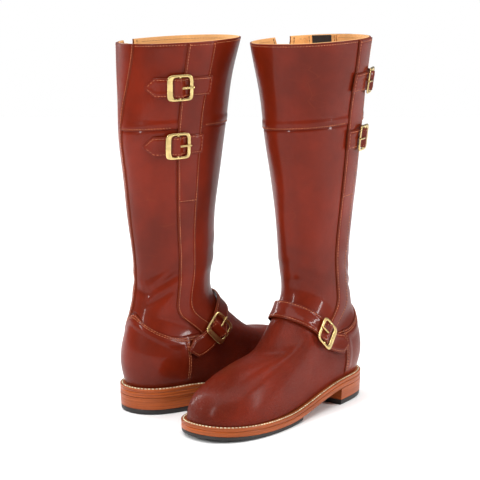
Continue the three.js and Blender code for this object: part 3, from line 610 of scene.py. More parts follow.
def leg_patch(from_turn, to_turn, bottom, top, low_gap=0.0, high_gap=0.0):
    """Places between two lines up the leg, each a function of height and ring, and two lines round
    it, each a function of the turn; no top means the top line. The gaps pull the ends in; a gap
    below 0 lets the piece run on under its neighbour."""

    def spot(s, t):
        turn = mix(from_turn(LEG_HEIGHT, TOP_RING), to_turn(LEG_HEIGHT, TOP_RING), s)
        ring = np.zeros(turn.shape) + TOP_RING
        for _ in range(3):
            low = ring_at_height(turn, bottom(turn))
            high = np.zeros(turn.shape) + TOP_RING if top is None else ring_at_height(turn, top(turn))
            low = low + as_ring(turn, low, low_gap)
            high = high - as_ring(turn, high, high_gap)
            ring = np.clip(mix(low, high, t), 0, TOP_RING)
            height = skin_axis(turn, ring, 2)
            turn = mix(from_turn(height, ring), to_turn(height, ring), s)
        return turn, ring

    return spot


def foot_patch(is_vamp, front_x, top_gap):
    """Places of the vamp, forward of a cross line at front_x, or of the counter behind it."""

    def spot(s, t):
        ring = np.zeros(s.shape)
        for _ in range(4):
            outer, inner = (turn_at_x(ring, front_x, near) for near in NEAR_SIDES)
            turn = mix(inner - 1, outer, s) if is_vamp else mix(outer, inner, s)
            high = ring_at_height(turn, waist(turn))
            ring = mix(ring_above_welt(turn), high - as_ring(turn, high, top_gap), t)
        return turn, ring

    return spot


# Distances of the stitch rows from the edges that they hold.
SEAM_ROWS = (1.9, 4.4)
CUFF_ROW, RIM_ROW, TRIM_ROW, STRAP_ROW, SLOT_ROW = 1.9, 2.6, 1.9, 2.1, 2.2
# How far a piece stands up over its neighbour, and how much one is thinned under it.
RAISED, THINNED = 1.35, 0.9
CUFF_RAISED, FLAP_RAISED = 0.75, 0.35


def lapped(distance):
    """Rise of a piece near an edge that laps over its neighbour."""
    return RAISED * (1 - smooth((distance - OVERLAP) / 9))


def tucked(distance):
    """Thinning of a piece where it runs on under its neighbour."""
    return THINNED * (1 - smooth((distance - OVERLAP + 1) / 2))


def make_leather(name, sheet, hide, rows=(), inner=-LEATHER, outer=0.0, replaces=None, **shaping):
    """Makes a leather piece from its sheet, with a groove under each of its stitch rows. It takes
    the place of the node with its own name, where replaces says nothing else."""
    shape, marks = sheet.solid(inner, outer, dents=sheet.stitch_dents(*rows), **shaping)
    replaces = [name] if replaces is None else replaces
    make_pair(f"{name}_leather", shape, hide, replaces=replaces, attributes=marks)


def make_uppers():
    hide = leather_material("chestnut_hide", 0.0)
    grained = leather_material("chestnut_vamp_hide", 1.0)
    vamp = Sheet(foot_patch(True, SEAM_X - OVERLAP, 0.3), 200, 110)
    under = tucked(vamp.first) + tucked(vamp.last)
    make_leather("vamp", vamp, grained, raised=-under * (vamp.ring > 0.2))

    counter = Sheet(foot_patch(False, COUNTER_X, 0.0), 110, 80)
    sewn = (counter.first, counter.last, counter.high)
    lap = np.max([lapped(edge) for edge in sewn], axis=0) * smooth(counter.low / 8)
    rows = [(edge, inset) for edge in sewn for inset in SEAM_ROWS]
    make_leather("counter", counter, hide, rows, raised=lap, replaces=["heel_counter"])

    # The front and rear halves of the leg: their two sides, and which of them is at the zip.
    halves = {"front": (after_zip, flap_front, "first"), "rear": (rear_start, before_zip, "last")}
    for label, (start, end, at_zip) in halves.items():
        is_front = label == "front"
        spot = leg_patch(start, end, waist, cuff_height, -2.0 if is_front else -OVERLAP, -5.0)
        shaft = Sheet(spot, 110 if is_front else 100, 190)
        under = tucked(shaft.high + 1) + (0 if is_front else tucked(shaft.low))
        make_leather(f"shaft_{label}", shaft, hide, [(getattr(shaft, at_zip), SLOT_ROW)], raised=-under)
    for label, (start, end, at_zip) in halves.items():
        cuff = Sheet(leg_patch(start, end, cuff_height, None), 110, 70)
        lap = CUFF_RAISED * (1 - smooth((cuff.low - 6) / 6))
        rows = [(cuff.low, CUFF_ROW), (cuff.high, RIM_ROW), (getattr(cuff, at_zip), SLOT_ROW)]
        make_leather(f"cuff_{label}", cuff, hide, rows, raised=lap)


def make_trim():
    """The leather over the zip's lower end, the side strip, the flap and the back stay."""
    hide = leather_material("chestnut_trim_hide", 0.0)
    sides = (zip_side(-1, ZIP_STOP_HALF), zip_side(1, ZIP_STOP_HALF))
    stop = Sheet(leg_patch(*sides, waist, zip_stop_top, -4.0), 24, 50)
    rows = [(edge, TRIM_ROW) for edge in (stop.first, stop.last, stop.high)]
    make_leather("zip_stop", stop, hide, rows, -0.5, ZIP_STOP_RISE, radius=0.6, replaces=[])

    sides = (flap_front, flap_rear)
    pieces = [
        ("side_strip", leg_patch(*sides, waist, flap_height, -4.0, -3.0), 26, 150, 0.0),
        ("closure_flap", leg_patch(*sides, flap_height, None), 30, 150, FLAP_RAISED),
        ("back_stay", leg_patch(stay_side(-1), stay_side(1), waist, None), 26, 200, -0.5),
    ]
    for name, spot, across, up, extra in pieces:
        sheet = Sheet(spot, across, up)
        rows = [(sheet.first, TRIM_ROW), (sheet.last, TRIM_ROW)]
        if name == "closure_flap":
            rows += [(sheet.low, TRIM_ROW), (sheet.high, RIM_ROW)]
        seated = -0.45 * bump_at(sheet.first, 0, 2.5)
        make_leather(name, sheet, hide, rows, TRIM_GAP - 0.5, TRIM_GAP + TRIM, raised=extra + seated)


# ---- Lining ------------------------------------------------------------------------------------

LINING_OUTER, LINING_THICK = -2.4, 1.2
GORE_LOW = LINING_OUTER - LINING_THICK - 1.1


def lining_spot(low_ring, high_ring, opening):
    def spot(s, t):
        ring = mix(low_ring, high_ring, t) + np.zeros(s.shape)
        half = zip_half_turn(ring, opening)
        return mix(ZIP_TURN - 1 + half, ZIP_TURN - half, s), ring

    return spot


def make_lining():
    tan = lining_material()
    leg = Sheet(lining_spot(6.2, TOP_RING, ZIP_SLOT / 2 + 0.4), 170, 110)
    up_to_rim = 0.65 * (1 - smooth(leg.high / 5))
    shape, marks = leg.solid(LINING_OUTER - LINING_THICK, LINING_OUTER, raised=up_to_rim, radius=0.5)
    make_pair("leg_lining", shape, tan, replaces=["lining"], attributes=marks)
    sock = Sheet(lining_spot(0.75, 6.15, 0.05), 120, 60)
    shape, marks = sock.solid(LINING_OUTER - 0.9, LINING_OUTER, radius=0.4)
    make_pair("foot_lining", shape, tan, attributes=marks)

    spot = leg_patch(straight_up(GORE_FROM), straight_up(GORE_TO), below_top(GORE_DEPTH), None, 0.0, 0.6)
    gore = Sheet(spot, 120, 20)
    ribs = 0.16 * np.sin(gore.first / 1.15 * 2 * np.pi)
    shape, marks = gore.solid(GORE_LOW, GORE_LOW + 1.0, raised=ribs, radius=0.3)
    web = elastic_material()
    make_pair("gore_web", shape, web, replaces=["elastic_gore"], attributes=marks)

    bindings = []
    for start, end in ((GORE_FROM - 0.008, GORE_FROM + 0.006), (GORE_TO - 0.006, GORE_TO + 0.008)):
        spot = leg_patch(straight_up(start), straight_up(end), below_top(GORE_DEPTH + 3), None)
        bindings.append(Sheet(spot, 8, 24).solid(GORE_LOW - 0.9, GORE_LOW - 0.15, radius=0.4)[0])
    make_pair("gore_binding", joined(*bindings), tan)


# ---- Sole --------------------------------------------------------------------------------------


def outline_at(turn, outset):
    """The foot's outline at the welt, set out from the upper."""
    point, turning = skin(turn, 0.0), slopes(turn, 0.0)[0]
    flat = unit(np.stack([turning[..., 1], -turning[..., 0]], -1))
    return point[..., :2] + flat * np.asarray(outset)[..., None]


def sole_slab(outer, inner, levels, top, bottom, across=10):
    """A sole layer between the outer and the inner turns of each of its stations. Each level is a
    depth, from 0 at the top to 1 at the bottom, and an outset from the upper. A station's section
    runs down the outer edge, across the bottom, up the inner edge and back across the top."""
    rims = []
    for turns in (outer, inner):
        side = []
        for depth, outset in levels:
            flat = outline_at(turns, outset + np.zeros(turns.shape))
            z = mix(top(flat[:, 0]), bottom(flat[:, 0]), depth)
            side.append(np.concatenate([flat, z[:, None]], 1))
        rims.append(np.stack(side, 1))
    out_side, in_side = rims
    share = (np.arange(1, across) / across)[None, :, None]
    under = mix(out_side[:, -1:], in_side[:, -1:], share)
    over = mix(in_side[:, :1], out_side[:, :1], share)
    for plane, height in ((under, bottom), (over, top)):
        plane[..., 2] = height(plane[..., 0])
    sections = np.concatenate([out_side, under, in_side[:, ::-1], over], 1)
    return loft(sections)


def sole_turns(count, from_x=None, to_x=None):
    """Outer and inner turns of a layer's stations, from toe to heel, or cut at an x."""
    share = (1 - np.cos(np.linspace(0, np.pi, count))) / 2
    if from_x is not None:
        outer = mix(turn_at_x(0.0, from_x, 0.1), 0.0, share)
        return outer, mix(turn_at_x(0.0, from_x, 0.9), 1.0, share)
    if to_x is not None:
        outer = mix(turn_at_x(0.0, to_x, 0.1), 0.5, share)
        return outer, mix(turn_at_x(0.0, to_x, 0.9), 0.5, share)
    return share * 0.5, 1 - share * 0.5


def make_sole():
    edge = edge_material()
    rubber = rubber_material()
    # Gap between two layers.
    close = 0.12

    turns = np.linspace(0, 1, 361)[:-1]
    # Welt section: distance out from the upper and depth below its top face.
    profile = [
        (-WELT_UNDER, 0), (0, 0), (2.0, 0.05), (2.7, 0.35), (3.4, 0.4), (4.1, 0.35), (4.8, 0.05), (5.5, 0.1),
        (5.9, 0.45), (6.0, 1.2), (5.9, 3.0), (5.6, 3.7), (5.2, WELT), (-WELT_UNDER, WELT)]
    rings = []
    for outset, depth in profile:
        flat = outline_at(turns, outset + np.zeros(turns.shape))
        rings.append(np.concatenate([flat, (welt_top(flat[:, 0]) - depth)[:, None]], 1))
    welt = loft(np.stack(rings, 1), closed=True)
    make_pair("welt_strip", welt, edge, replaces=["welt"])

    def under_welt(x):
        return welt_top(x) - WELT - close

    def under_sole(x):
        return welt_top(x) - WELT - OUTSOLE

    rounded = [(0, 4.9), (0.05, 5.5), (0.14, 5.75), (0.86, 5.75), (0.95, 5.5), (1, 4.9)]
    outsole = sole_slab(*sole_turns(120), rounded, under_welt, under_sole)
    make_pair("outsole_leather", outsole, edge, replaces=["outsole"])

    lifts = 4
    stack = [(0, 5.4)]
    for k in range(lifts):
        out = mix(5.9, 5.0, (k + 0.5) / lifts)
        stack += [((k + 0.05) / lifts, out), ((k + 0.95) / lifts, out)]
        if k < lifts - 1:
            stack.append(((k + 1) / lifts, out - 0.22))
    stack.append((1, 4.6))
    heel_turns = sole_turns(90, to_x=BREAST_X)
    heel = sole_slab(*heel_turns, stack, lambda x: under_sole(x) - close, lambda x: HEEL_CAP + 0 * x)
    make_pair("heel_lifts", heel, edge, replaces=["heel_stack"])
    tread = [(0, 4.7), (0.08, 5.0), (0.8, 4.5), (1, 3.7)]
    cap = sole_slab(*heel_turns, tread, lambda x: HEEL_CAP - close + 0 * x, lambda x: 0 * x)
    make_pair("heel_tread", cap, rubber, replaces=["heel_cap"])

    tread = [(0, 5.2), (0.1, 5.5), (0.8, 5.1), (1, 4.4)]
    half = sole_slab(*sole_turns(90, from_x=HALF_SOLE_X), tread,
                     lambda x: under_sole(x) - close, lambda x: under_sole(x) - HALF_SOLE)
    make_pair("forefoot_tread", half, rubber, replaces=["forefoot_rubber"])

    sock = sole_slab(*sole_turns(100), [(0, -6.3), (0.3, -5.6), (1, -5.6)],
                     lambda x: welt_top(x) + 3.2, lambda x: welt_top(x) + GAP, across=14)
    make_pair("insole_leather", sock, lining_material(), replaces=["insole"])


# ---- Straps ------------------------------------------------------------------------------------

OVER_TRIM = TRIM_GAP + TRIM + GAP + 0.05
BAR_CENTRE = OVER_TRIM + EYE_RADIUS + 2 * GAP
RISE_OVER_BAR = BAR_CENTRE + BAR_RADIUS + GAP - OVER_TRIM


class Line:
    """A line on the skin with places at even distances, from one turn to another."""

    def __init__(self, height_at, from_turn, to_turn, bar_turn):
        turn = np.linspace(from_turn, to_turn, 400)
        ring = ring_at_height(turn, height_at(turn))
        self.run = path_run(skin(turn, ring))
        self.turn, self.ring, self.length = turn, ring, self.run[-1]
        self.bar_at = float(np.interp(bar_turn, turn, self.run))

    def at(self, distance):
        """Point, along, across and outward directions at distances down the line."""
        turn = np.interp(distance, self.run, self.turn)
        ring = np.interp(distance, self.run, self.ring)
        ahead, behind = (
            skin(np.interp(place, self.run, self.turn), np.interp(place, self.run, self.ring))
            for place in (distance + 0.4, distance - 0.4))
        tangent = ahead - behind
        out = outward(turn, ring)
        along = unit(tangent - out * np.sum(tangent * out, -1, keepdims=True))
        return turn, ring, skin(turn, ring), along, np.cross(out, along), out


def nearest(points, turn, ring):
    """The places on the skin nearest to points, by Newton steps from first guesses."""
    for _ in range(5):
        turning, rising = slopes(turn, ring)
        off = points - skin(turn, ring)
        aa, bb = np.sum(turning**2, -1), np.sum(rising**2, -1)
        ab = np.sum(turning * rising, -1)
        pa, pb = np.sum(off * turning, -1), np.sum(off * rising, -1)
        det = aa * bb - ab * ab
        turn = turn + (pa * bb - pb * ab) / det
        ring = np.clip(ring + (pb * aa - pa * ab) / det, 0.02, TOP_RING)
    return turn, ring


def ankle_height(turn):
    fall = np.cos(clamp01(np.abs(turn) / 0.38) * np.pi / 2) ** 1.5
    return mix(WAIST_SIDE_Z - 16, WAIST_FRONT_Z, fall)


def strap_lines():
    sewn = flap_front(LEG_HEIGHT - UPPER_DEPTH) - 0.006
    return {
        "upper": Line(below_top(UPPER_DEPTH), sewn, 0.433, 0.332),
        "lower": Line(below_top(LOWER_DEPTH), sewn, 0.4275, 0.319),
        "ankle": Line(ankle_height, -0.36, 0.375, 0.235),
    }


def strap_lift(name, line, distance):
    """Underside of a strap: on the trim, over the buckle's bar, and down to the leg at its tip."""
    hump = RISE_OVER_BAR * np.exp(-(((distance - line.bar_at) / 4.2) ** 2))
    if name == "ankle":
        return OVER_TRIM + hump
    settle = smooth((distance - line.bar_at - 20) / 12)
    sewn = smooth(distance / 10)
    return mix(mix(OVER_TRIM, 0.55, settle), OVER_TRIM - 0.2, 1 - sewn) + hump


def strap_half(line, distance):
    """Half width: full, then straight in to the point."""
    left = line.length - distance
    return STRAP_WIDTH / 2 * clamp01(0.12 + left / STRAP_POINT)


def strap_places(line, distance, across):
    """Places of a strap's grid: distances down it by shares of its half width."""
    turn, ring, point, _, side, _ = line.at(distance)
    reach = across[None, :] * strap_half(line, distance)[:, None]
    wanted = point[:, None] + side[:, None] * reach[..., None]
    shape = wanted.shape[:2]
    return nearest(wanted, np.broadcast_to(turn[:, None], shape), np.broadcast_to(ring[:, None], shape))


HOLE_STEP = 12.5


def strap_holes(line):
    """Punched holes: round plugs through the strap at even distances on both sides of the bar."""
    places = line.bar_at + HOLE_STEP * np.array([-2, -1, 1, 2])
    places = places[places < line.length - STRAP_POINT - 6]
    _, _, point, along, across, out = line.at(places)
    angle = full_turn(12)
    parts = []
    for k in range(len(places)):
        circle = 1.25 * (np.cos(angle)[:, None] * along[k] + np.sin(angle)[:, None] * across[k])
        sections = np.stack([point[k] + circle + out[k] * height for height in (-1.0, 14.0)])
        parts.append(loft(sections))
    return joined(*parts)


def make_straps():
    hide = leather_material("strap_hide", 0.0)
    for name, line in strap_lines().items():
        body = steps(int(line.length / 1.4), 1.0 / line.length) * line.length
        near = line.bar_at + np.linspace(-9, 9, 25)
        distance = np.unique(np.concatenate([body, near, [line.length - STRAP_POINT]]))
        sides = [-1, -0.985, -0.95, -0.9], np.linspace(-0.82, 0.82, 15), [0.9, 0.95, 0.985, 1]
        across = np.concatenate(sides)
        turn, ring = strap_places(line, distance, across)
        from_end = np.minimum(distance, line.length - distance)[:, None]
        from_side = (1 - np.abs(across))[None, :] * strap_half(line, distance)[:, None]
        edge = np.minimum(from_side, from_end)
        lift = strap_lift(name, line, distance)[:, None]
        crown = 0.22 * bump_at(edge, 4.2, 2.0)
        dent = settings().stitch_dent * bump_at(edge, STRAP_ROW, 0.8)
        top = lift + STRAP_THICK + crown - dent - edge_drop(edge, 0.9)
        bottom = lift + edge_drop(edge, 0.3)
        shape = slab(surface(turn, ring, top), surface(turn, ring, bottom))
        # Nearness to the edges, for a darker band of painted shade and the cut edge's colour at the rim.
        edge_shade_and_cut_edge = np.exp(-edge / 0.7).ravel()
        marks = {"fold": np.zeros(edge_shade_and_cut_edge.size * 2), "edge": np.concatenate([edge_shade_and_cut_edge, np.ones_like(edge_shade_and_cut_edge)])}
        make_pair(f"{name}_strap_leather", shape, hide, replaces=[f"{name}_strap"],
                  attributes=marks, holes=strap_holes(line))
        make_chape(name, line, hide)


def make_chape(name, line, hide):
    """The short loop that holds a buckle: a band from the leg up to its bar and half round it."""
    _, _, point, along, across, out = line.at(np.array([line.bar_at]))
    angle = np.linspace(0.15 * np.pi, 1.1 * np.pi, 10)
    reach = BAR_RADIUS + 0.75
    angle = angle + np.pi / 2 + 0.6 * np.pi
    x = np.concatenate([[17, 12, 7.5, 4.2], reach * np.cos(angle)[::-1]])
    z = np.concatenate([[1.3, 1.35, 1.5, 2.1], BAR_CENTRE + reach * np.sin(angle)[::-1]])
    path = np.stack([x, z], -1)
    tangent = unit(np.gradient(path, axis=0))
    normal = np.stack([-tangent[:, 1], tangent[:, 0]], -1)
    section = np.array([
        (-1, -0.4), (-1, 0.4), (-0.94, 0.5), (0.94, 0.5), (1, 0.4), (1, -0.4), (0.94, -0.5), (-0.94, -0.5)])
    centre = point[0] + path[:, :1] * along[0] + path[:, 1:] * out[0]
    thick = (normal[:, :1] * along[0] + normal[:, 1:] * out[0])[:, None] * section[None, :, 1:] * 1.1
    wide = across[0] * section[None, :, :1] * (STRAP_WIDTH / 2 - 1.5)
    sections = centre[:, None] + thick + wide
    count = sections.shape[0] * sections.shape[1]
    marks = {"fold": np.zeros(count), "edge": np.zeros(count)}
    make_pair(f"{name}_chape", loft(sections), hide, attributes=marks)


# ---- Buckles -----------------------------------------------------------------------------------


def superellipse(angle, half_x, half_y, power):
    c, s = np.cos(angle), np.sin(angle)
    x = half_x * np.sign(c) * np.abs(c) ** (2 / power)
    return np.stack([x, half_y * np.sign(s) * np.abs(s) ** (2 / power)], -1)


def spindle(path, wide, thick, sides=12, power=2.4):
    """A bar along points in the x-z plane with an oval section, wide across y and thick along the
    path's normal."""
    tangent = unit(np.gradient(path, axis=0))
    normal = np.stack([-tangent[:, 1], tangent[:, 0]], -1)
    oval = superellipse(full_turn(sides), 1.0, 1.0, power)
    x = path[:, :1] + normal[:, :1] * thick[:, None] * oval[None, :, 0]
    z = path[:, 1:] + normal[:, 1:] * thick[:, None] * oval[None, :, 0]
    y = wide[:, None] * oval[None, :, 1]
    return loft(np.stack([x, y, z], -1))


def on_bar(shape, line):
    """Carries a shape drawn with x along the strap, y across it and z out to its buckle's place."""
    _, _, point, along, across, out = line.at(np.array([line.bar_at]))
    points = shape[0]
    return point[0] + points[:, :1] * along[0] + points[:, 1:2] * across[0] + points[:, 2:] * out[0], shape[1]


def buckle_shape():
    """A ring between two rounded squares, thicker over its wide rear bar, and a round cross bar."""
    angle = full_turn(120)
    hole_half = BUCKLE_HALF - (FRONT_BAR + REAR_BAR) / 2
    shift = (FRONT_BAR - REAR_BAR) / 2
    outer = superellipse(angle, BUCKLE_HALF, BUCKLE_HALF, 5.5)
    inner = superellipse(angle, hole_half, BUCKLE_HALF - SIDE_BAR, 6.5) + [shift, 0]
    middle, reach = (outer + inner) / 2, (outer - inner) / 2
    section = superellipse(full_turn(16), 1.0, 1.0, 3.0)
    flat = middle[:, None] + reach[:, None] * section[None, :, :1]
    height = BAR_CENTRE + 1.05 * section[None, :, 1] * np.ones((len(angle), 1))
    ring = loft(np.concatenate([flat, height[..., None]], -1), closed=True)
    turned = full_turn(14)
    bar_y = np.linspace(-1, 1, 2) * (BUCKLE_HALF - SIDE_BAR / 2)
    circle = BAR_RADIUS * np.stack([np.cos(turned), np.sin(turned)], -1)
    bar = np.stack([np.stack([circle[:, 0], y + 0 * turned, BAR_CENTRE + circle[:, 1]], -1) for y in bar_y])
    return joined(ring, loft(bar))


def prong_shape():
    """An eye round the bar and an arm that thins to its tip on the front bar."""
    turned = np.linspace(0, 2 * np.pi, 25)[:-1]
    oval = superellipse(full_turn(10), 0.5, 1.2, 2.6)
    radius = 2.15 + oval[None, :, 0] + np.zeros((len(turned), 1))
    eye = np.stack([radius * np.cos(turned)[:, None], oval[None, :, 1] + 0 * radius,
                    BAR_CENTRE + radius * np.sin(turned)[:, None]], -1)
    x = np.array([0.6, -1.5, -4.5, -8.0, -11.5, -14.4, -15.9, -16.2])
    z = BAR_CENTRE + np.array([2.25, 2.35, 2.3, 2.15, 2.05, 1.95, 1.75, 1.65])
    wide = np.array([1.2, 1.25, 1.2, 1.15, 1.1, 1.0, 0.75, 0.3])
    thick = np.array([0.6, 0.75, 0.75, 0.72, 0.7, 0.62, 0.45, 0.2])
    return joined(loft(eye, closed=True), spindle(np.stack([x, z], -1), wide, thick))


def make_buckles():
    brass = brass_material()
    for name, line in strap_lines().items():
        make_pair(f"{name}_buckle_frame", on_bar(buckle_shape(), line), brass,
                  replaces=[f"{name}_buckle"])
        make_pair(f"{name}_buckle_prong", on_bar(prong_shape(), line), brass,
                  body=f"{name}_prong", replaces=[f"{name}_prong"])


# ---- Zip ---------------------------------------------------------------------------------------

TAPE_TOP = -0.25


def zip_top():
    return top_height(ZIP_TURN) - ZIP_TOP_DEPTH


def zip_place(height):
    """Origin and directions of the zip at a height on its straight line: across, down and out."""
    low = skin(ZIP_TURN, ring_at_height(ZIP_TURN, ZIP_OPEN))
    high = skin(ZIP_TURN, ring_at_height(ZIP_TURN, zip_top()))
    down = unit(low - high)
    out = outward(ZIP_TURN, ring_at_height(ZIP_TURN, (low[2] + high[2]) / 2))
    out = unit(out - down * np.dot(out, down))
    origin = mix(high, low, (high[2] - height) / (high[2] - low[2]))
    return origin, np.cross(down, out), down, out


def block(outline, heights, insets):
    """A block over a closed outline (x, y), with its edges drawn in by insets at its heights."""
    centre = outline.mean(0)
    radial = outline - centre
    length = np.linalg.norm(radial, axis=1, keepdims=True)
    sections = []
    for height, inset in zip(heights, insets):
        flat = centre + radial * (1 - inset / length)
        sections.append(np.concatenate([flat, np.full((len(flat), 1), height)], 1))
    return loft(np.stack(sections))


def to_zip(shape, height, origin=None):
    """Carries a shape drawn with x across the zip, y down it and z out to a height on the zip, or
    to an origin of its own."""
    middle, across, down, out = zip_place(height)
    origin = middle if origin is None else origin
    points = shape[0]
    return origin + points[:, :1] * across + points[:, 1:2] * down + points[:, 2:] * out, shape[1]


def make_zip():
    tape = cloth_material()
    brass = brass_material()

    def band(half_width):
        def edge(side):
            return lambda height, ring: ZIP_TURN + side * as_turn(ZIP_TURN, ring, half_width)

        return leg_patch(edge(-1), edge(1), level(ZIP_BOTTOM), level(zip_top()))

    sheet = Sheet(band(ZIP_SLOT / 2 + 1.5), 30, 150)
    under_slot = -0.7 * (sheet.first < 2) - 0.7 * (sheet.last < 2)
    shape, _ = sheet.solid(TAPE_TOP - 1.2, TAPE_TOP - 0.35, radius=0.2, raised=under_slot)
    make_pair("zip_tape", shape, tape)

    pitch = 2.1
    heights = np.arange(ZIP_BOTTOM + 3, zip_top() - 1, pitch)
    teeth = []
    box = superellipse(full_turn(8) + np.pi / 8, 1.7, 0.62, 4.0)
    for height in heights:
        for side, shift in ((-1, 0.0), (1, pitch / 2)):
            outline = box + [side * 1.0, 0]
            tooth = block(outline, [TAPE_TOP - 0.4, TAPE_TOP + 0.9, TAPE_TOP + 1.3], [0, 0, 0.25])
            origin = skin(ZIP_TURN, ring_at_height(ZIP_TURN, height + shift))
            teeth.append(to_zip(tooth, height, origin))
    make_pair("zip_teeth", joined(*teeth), brass, replaces=["zip_chain"])

    base = TAPE_TOP + GAP
    angle = full_turn(40)
    plan = superellipse(angle, SLIDER_WIDTH / 2, SLIDER_LENGTH / 2, 3.2)
    plan[:, 0] *= 1 - 0.16 * smooth(plan[:, 1] / (SLIDER_LENGTH / 2))
    plan = plan + [0, SLIDER_LENGTH / 2]
    body = block(plan, [base + 1.9, base + 2.1, base + 3.0, base + 3.4], [0.3, 0, 0, 0.5])
    walls = []
    for side in (-1, 1):
        wall = superellipse(angle[::4], 0.7, SLIDER_LENGTH / 2 - 0.6, 4.0) + [side * 3.9, SLIDER_LENGTH / 2]
        walls.append(block(wall, [base, base + 2.1], [0, 0]))
    pin_z = base + 3.4 + 2.2
    arch = np.linspace(0, np.pi, 15)
    path = np.stack([-3.6 * np.cos(arch), base + 3.0 + (pin_z + 0.9 - base - 3.0) * np.sin(arch) ** 0.5], -1)
    bridge_points, bridge_faces = spindle(path, np.full(15, 1.1), np.full(15, 0.65))
    bridge = (bridge_points + [0, 4.5, 0], bridge_faces)
    slider = joined(body, *walls, bridge)
    height = zip_top() - SLIDER_FROM_TOP
    make_pair("zip_slider_body", to_zip(slider, height), brass, body="zip_slider",
              replaces=["zip_slider"])

    plate = superellipse(angle, 3.25, 9.3, 3.4)
    plate[:, 0] *= 1 + 0.12 * plate[:, 1] / 9.3
    plate = plate + [0, 13.2]
    tab = block(plate, [-0.7, -0.4, 0.4, 0.7], [0.35, 0, 0, 0.35])
    panel = superellipse(angle, 1.9, 5.6, 3.0) + [0, 14.6]
    boss = block(panel, [0.65, 0.95, 1.05], [0, 0, 0.3])
    turned = np.linspace(0, 2 * np.pi, 21)[:-1]
    oval = superellipse(full_turn(10), 0.45, 1.5, 2.6)
    radius = 1.6 + oval[None, :, 0] + np.zeros((len(turned), 1))
    height_on_pin = oval[None, :, 1] + 0 * radius
    circle = [radius * np.cos(turned)[:, None], radius * np.sin(turned)[:, None]]
    ring = np.stack([height_on_pin, *circle], -1)
    neck = block(superellipse(angle, 1.4, 1.7, 4.0) + [0, 3.2], [-0.6, -0.45, 0.45, 0.6], [0.2, 0, 0, 0.2])
    points, faces = joined(tab, boss, loft(ring, closed=True), neck)
    pull = (points + [0, 4.5, pin_z], faces)
    make_pair("zip_pull_tab", to_zip(pull, height), brass, body="zip_pull",
              replaces=["zip_pull"])


# ---- Stitching ---------------------------------------------------------------------------------


def stitch_shapes(points, along, out, length, radius):
    """Small arched threads: six-sided spindles of five rings that dip at both ends, one for each
    point."""
    share = np.array([0.0, 0.12, 0.5, 0.88, 1.0])
    swell = np.array([0.35, 0.9, 1.0, 0.9, 0.35])
    rise = np.array([-0.75, 0.05, 0.3, 0.05, -0.75]) * radius
    angle = full_turn(6)
    across = np.cross(out, along)
    x = (share - 0.5) * length
    ring = np.stack([np.cos(angle), np.sin(angle)], -1) * radius
    centre = points[:, None] + along[:, None] * x[None, :, None] + out[:, None] * rise[None, :, None]
    side = across[:, None, None] * (swell[:, None] * ring[None, :, 0])[None, ..., None]
    lift = out[:, None, None] * (swell[:, None] * ring[None, :, 1])[None, ..., None]
    grid = (centre[:, :, None] + side + lift).reshape(len(points), -1, 3)
    _, faces = loft(np.zeros((len(share), len(angle), 3)))
    start = np.arange(len(points))[:, None, None] * len(share) * len(angle)
    all_faces = []
    for corners in (4, len(angle)):
        alike = np.array([face for face in faces if len(face) == corners])
        all_faces += (alike[None] + start).reshape(-1, corners).tolist()
    return grid.reshape(-1, 3), all_faces


def walked(path, pitch):
    """Distances of evenly spaced places down a path, and the distance of each of its points."""
    run = path_run(path)
    count = max(int(run[-1] / pitch), 1)
    return (np.arange(count) + 0.5) * run[-1] / count, run


def on_path(path, run, at):
    return np.stack([np.interp(at, run, path[:, k]) for k in range(3)], -1)


def stitch_row(turn, ring, lift, slant=0.0, pitch=None, thick=1.0):
    """Stitches down a line of places, at a distance from the skin. A slant turns each one."""
    pitch = pitch or settings().stitch_pitch
    lift = np.zeros(len(turn)) + lift
    path = surface(turn, ring, lift)
    at, run = walked(path, pitch)
    places = [np.interp(at, run, values) for values in (turn, ring, lift)]
    out = outward(places[0], places[1])
    along = on_path(path, run, at + 0.5) - on_path(path, run, at - 0.5)
    along = unit(along - out * np.sum(along * out, -1, keepdims=True))
    along = unit(along + np.cross(out, along) * slant)
    return stitch_shapes(surface(*places), along, out, pitch * 0.78, settings().thread_radius * thick)


def leg_line(turn_of, low, high, count=240):
    """Places up the leg on a line whose turn depends on its height."""
    height = np.linspace(0, 1, count)
    turn = np.zeros(count) + turn_of(np.full(count, 250.0), np.full(count, 8.0))
    for _ in range(3):
        top = top_height(turn) - 1 if high is None else high(turn)
        ring = ring_at_height(turn, mix(low(turn), top, height))
        turn = turn_of(skin_axis(turn, ring, 2), ring)
    return turn, ring


def beside(turn_of, distance):
    """The same line, moved round the leg by a distance."""
    return lambda height, ring: turn_of(height, ring) + as_turn(turn_of(height, ring), ring, distance)


def level_line(height_of, start, end, shift=0.0, count=400):
    turn = np.linspace(start, end, count)
    return turn, ring_at_height(turn, height_of(turn) + shift)


ON_LEATHER, ON_TRIM = 0.02, TRIM_GAP + TRIM + 0.02


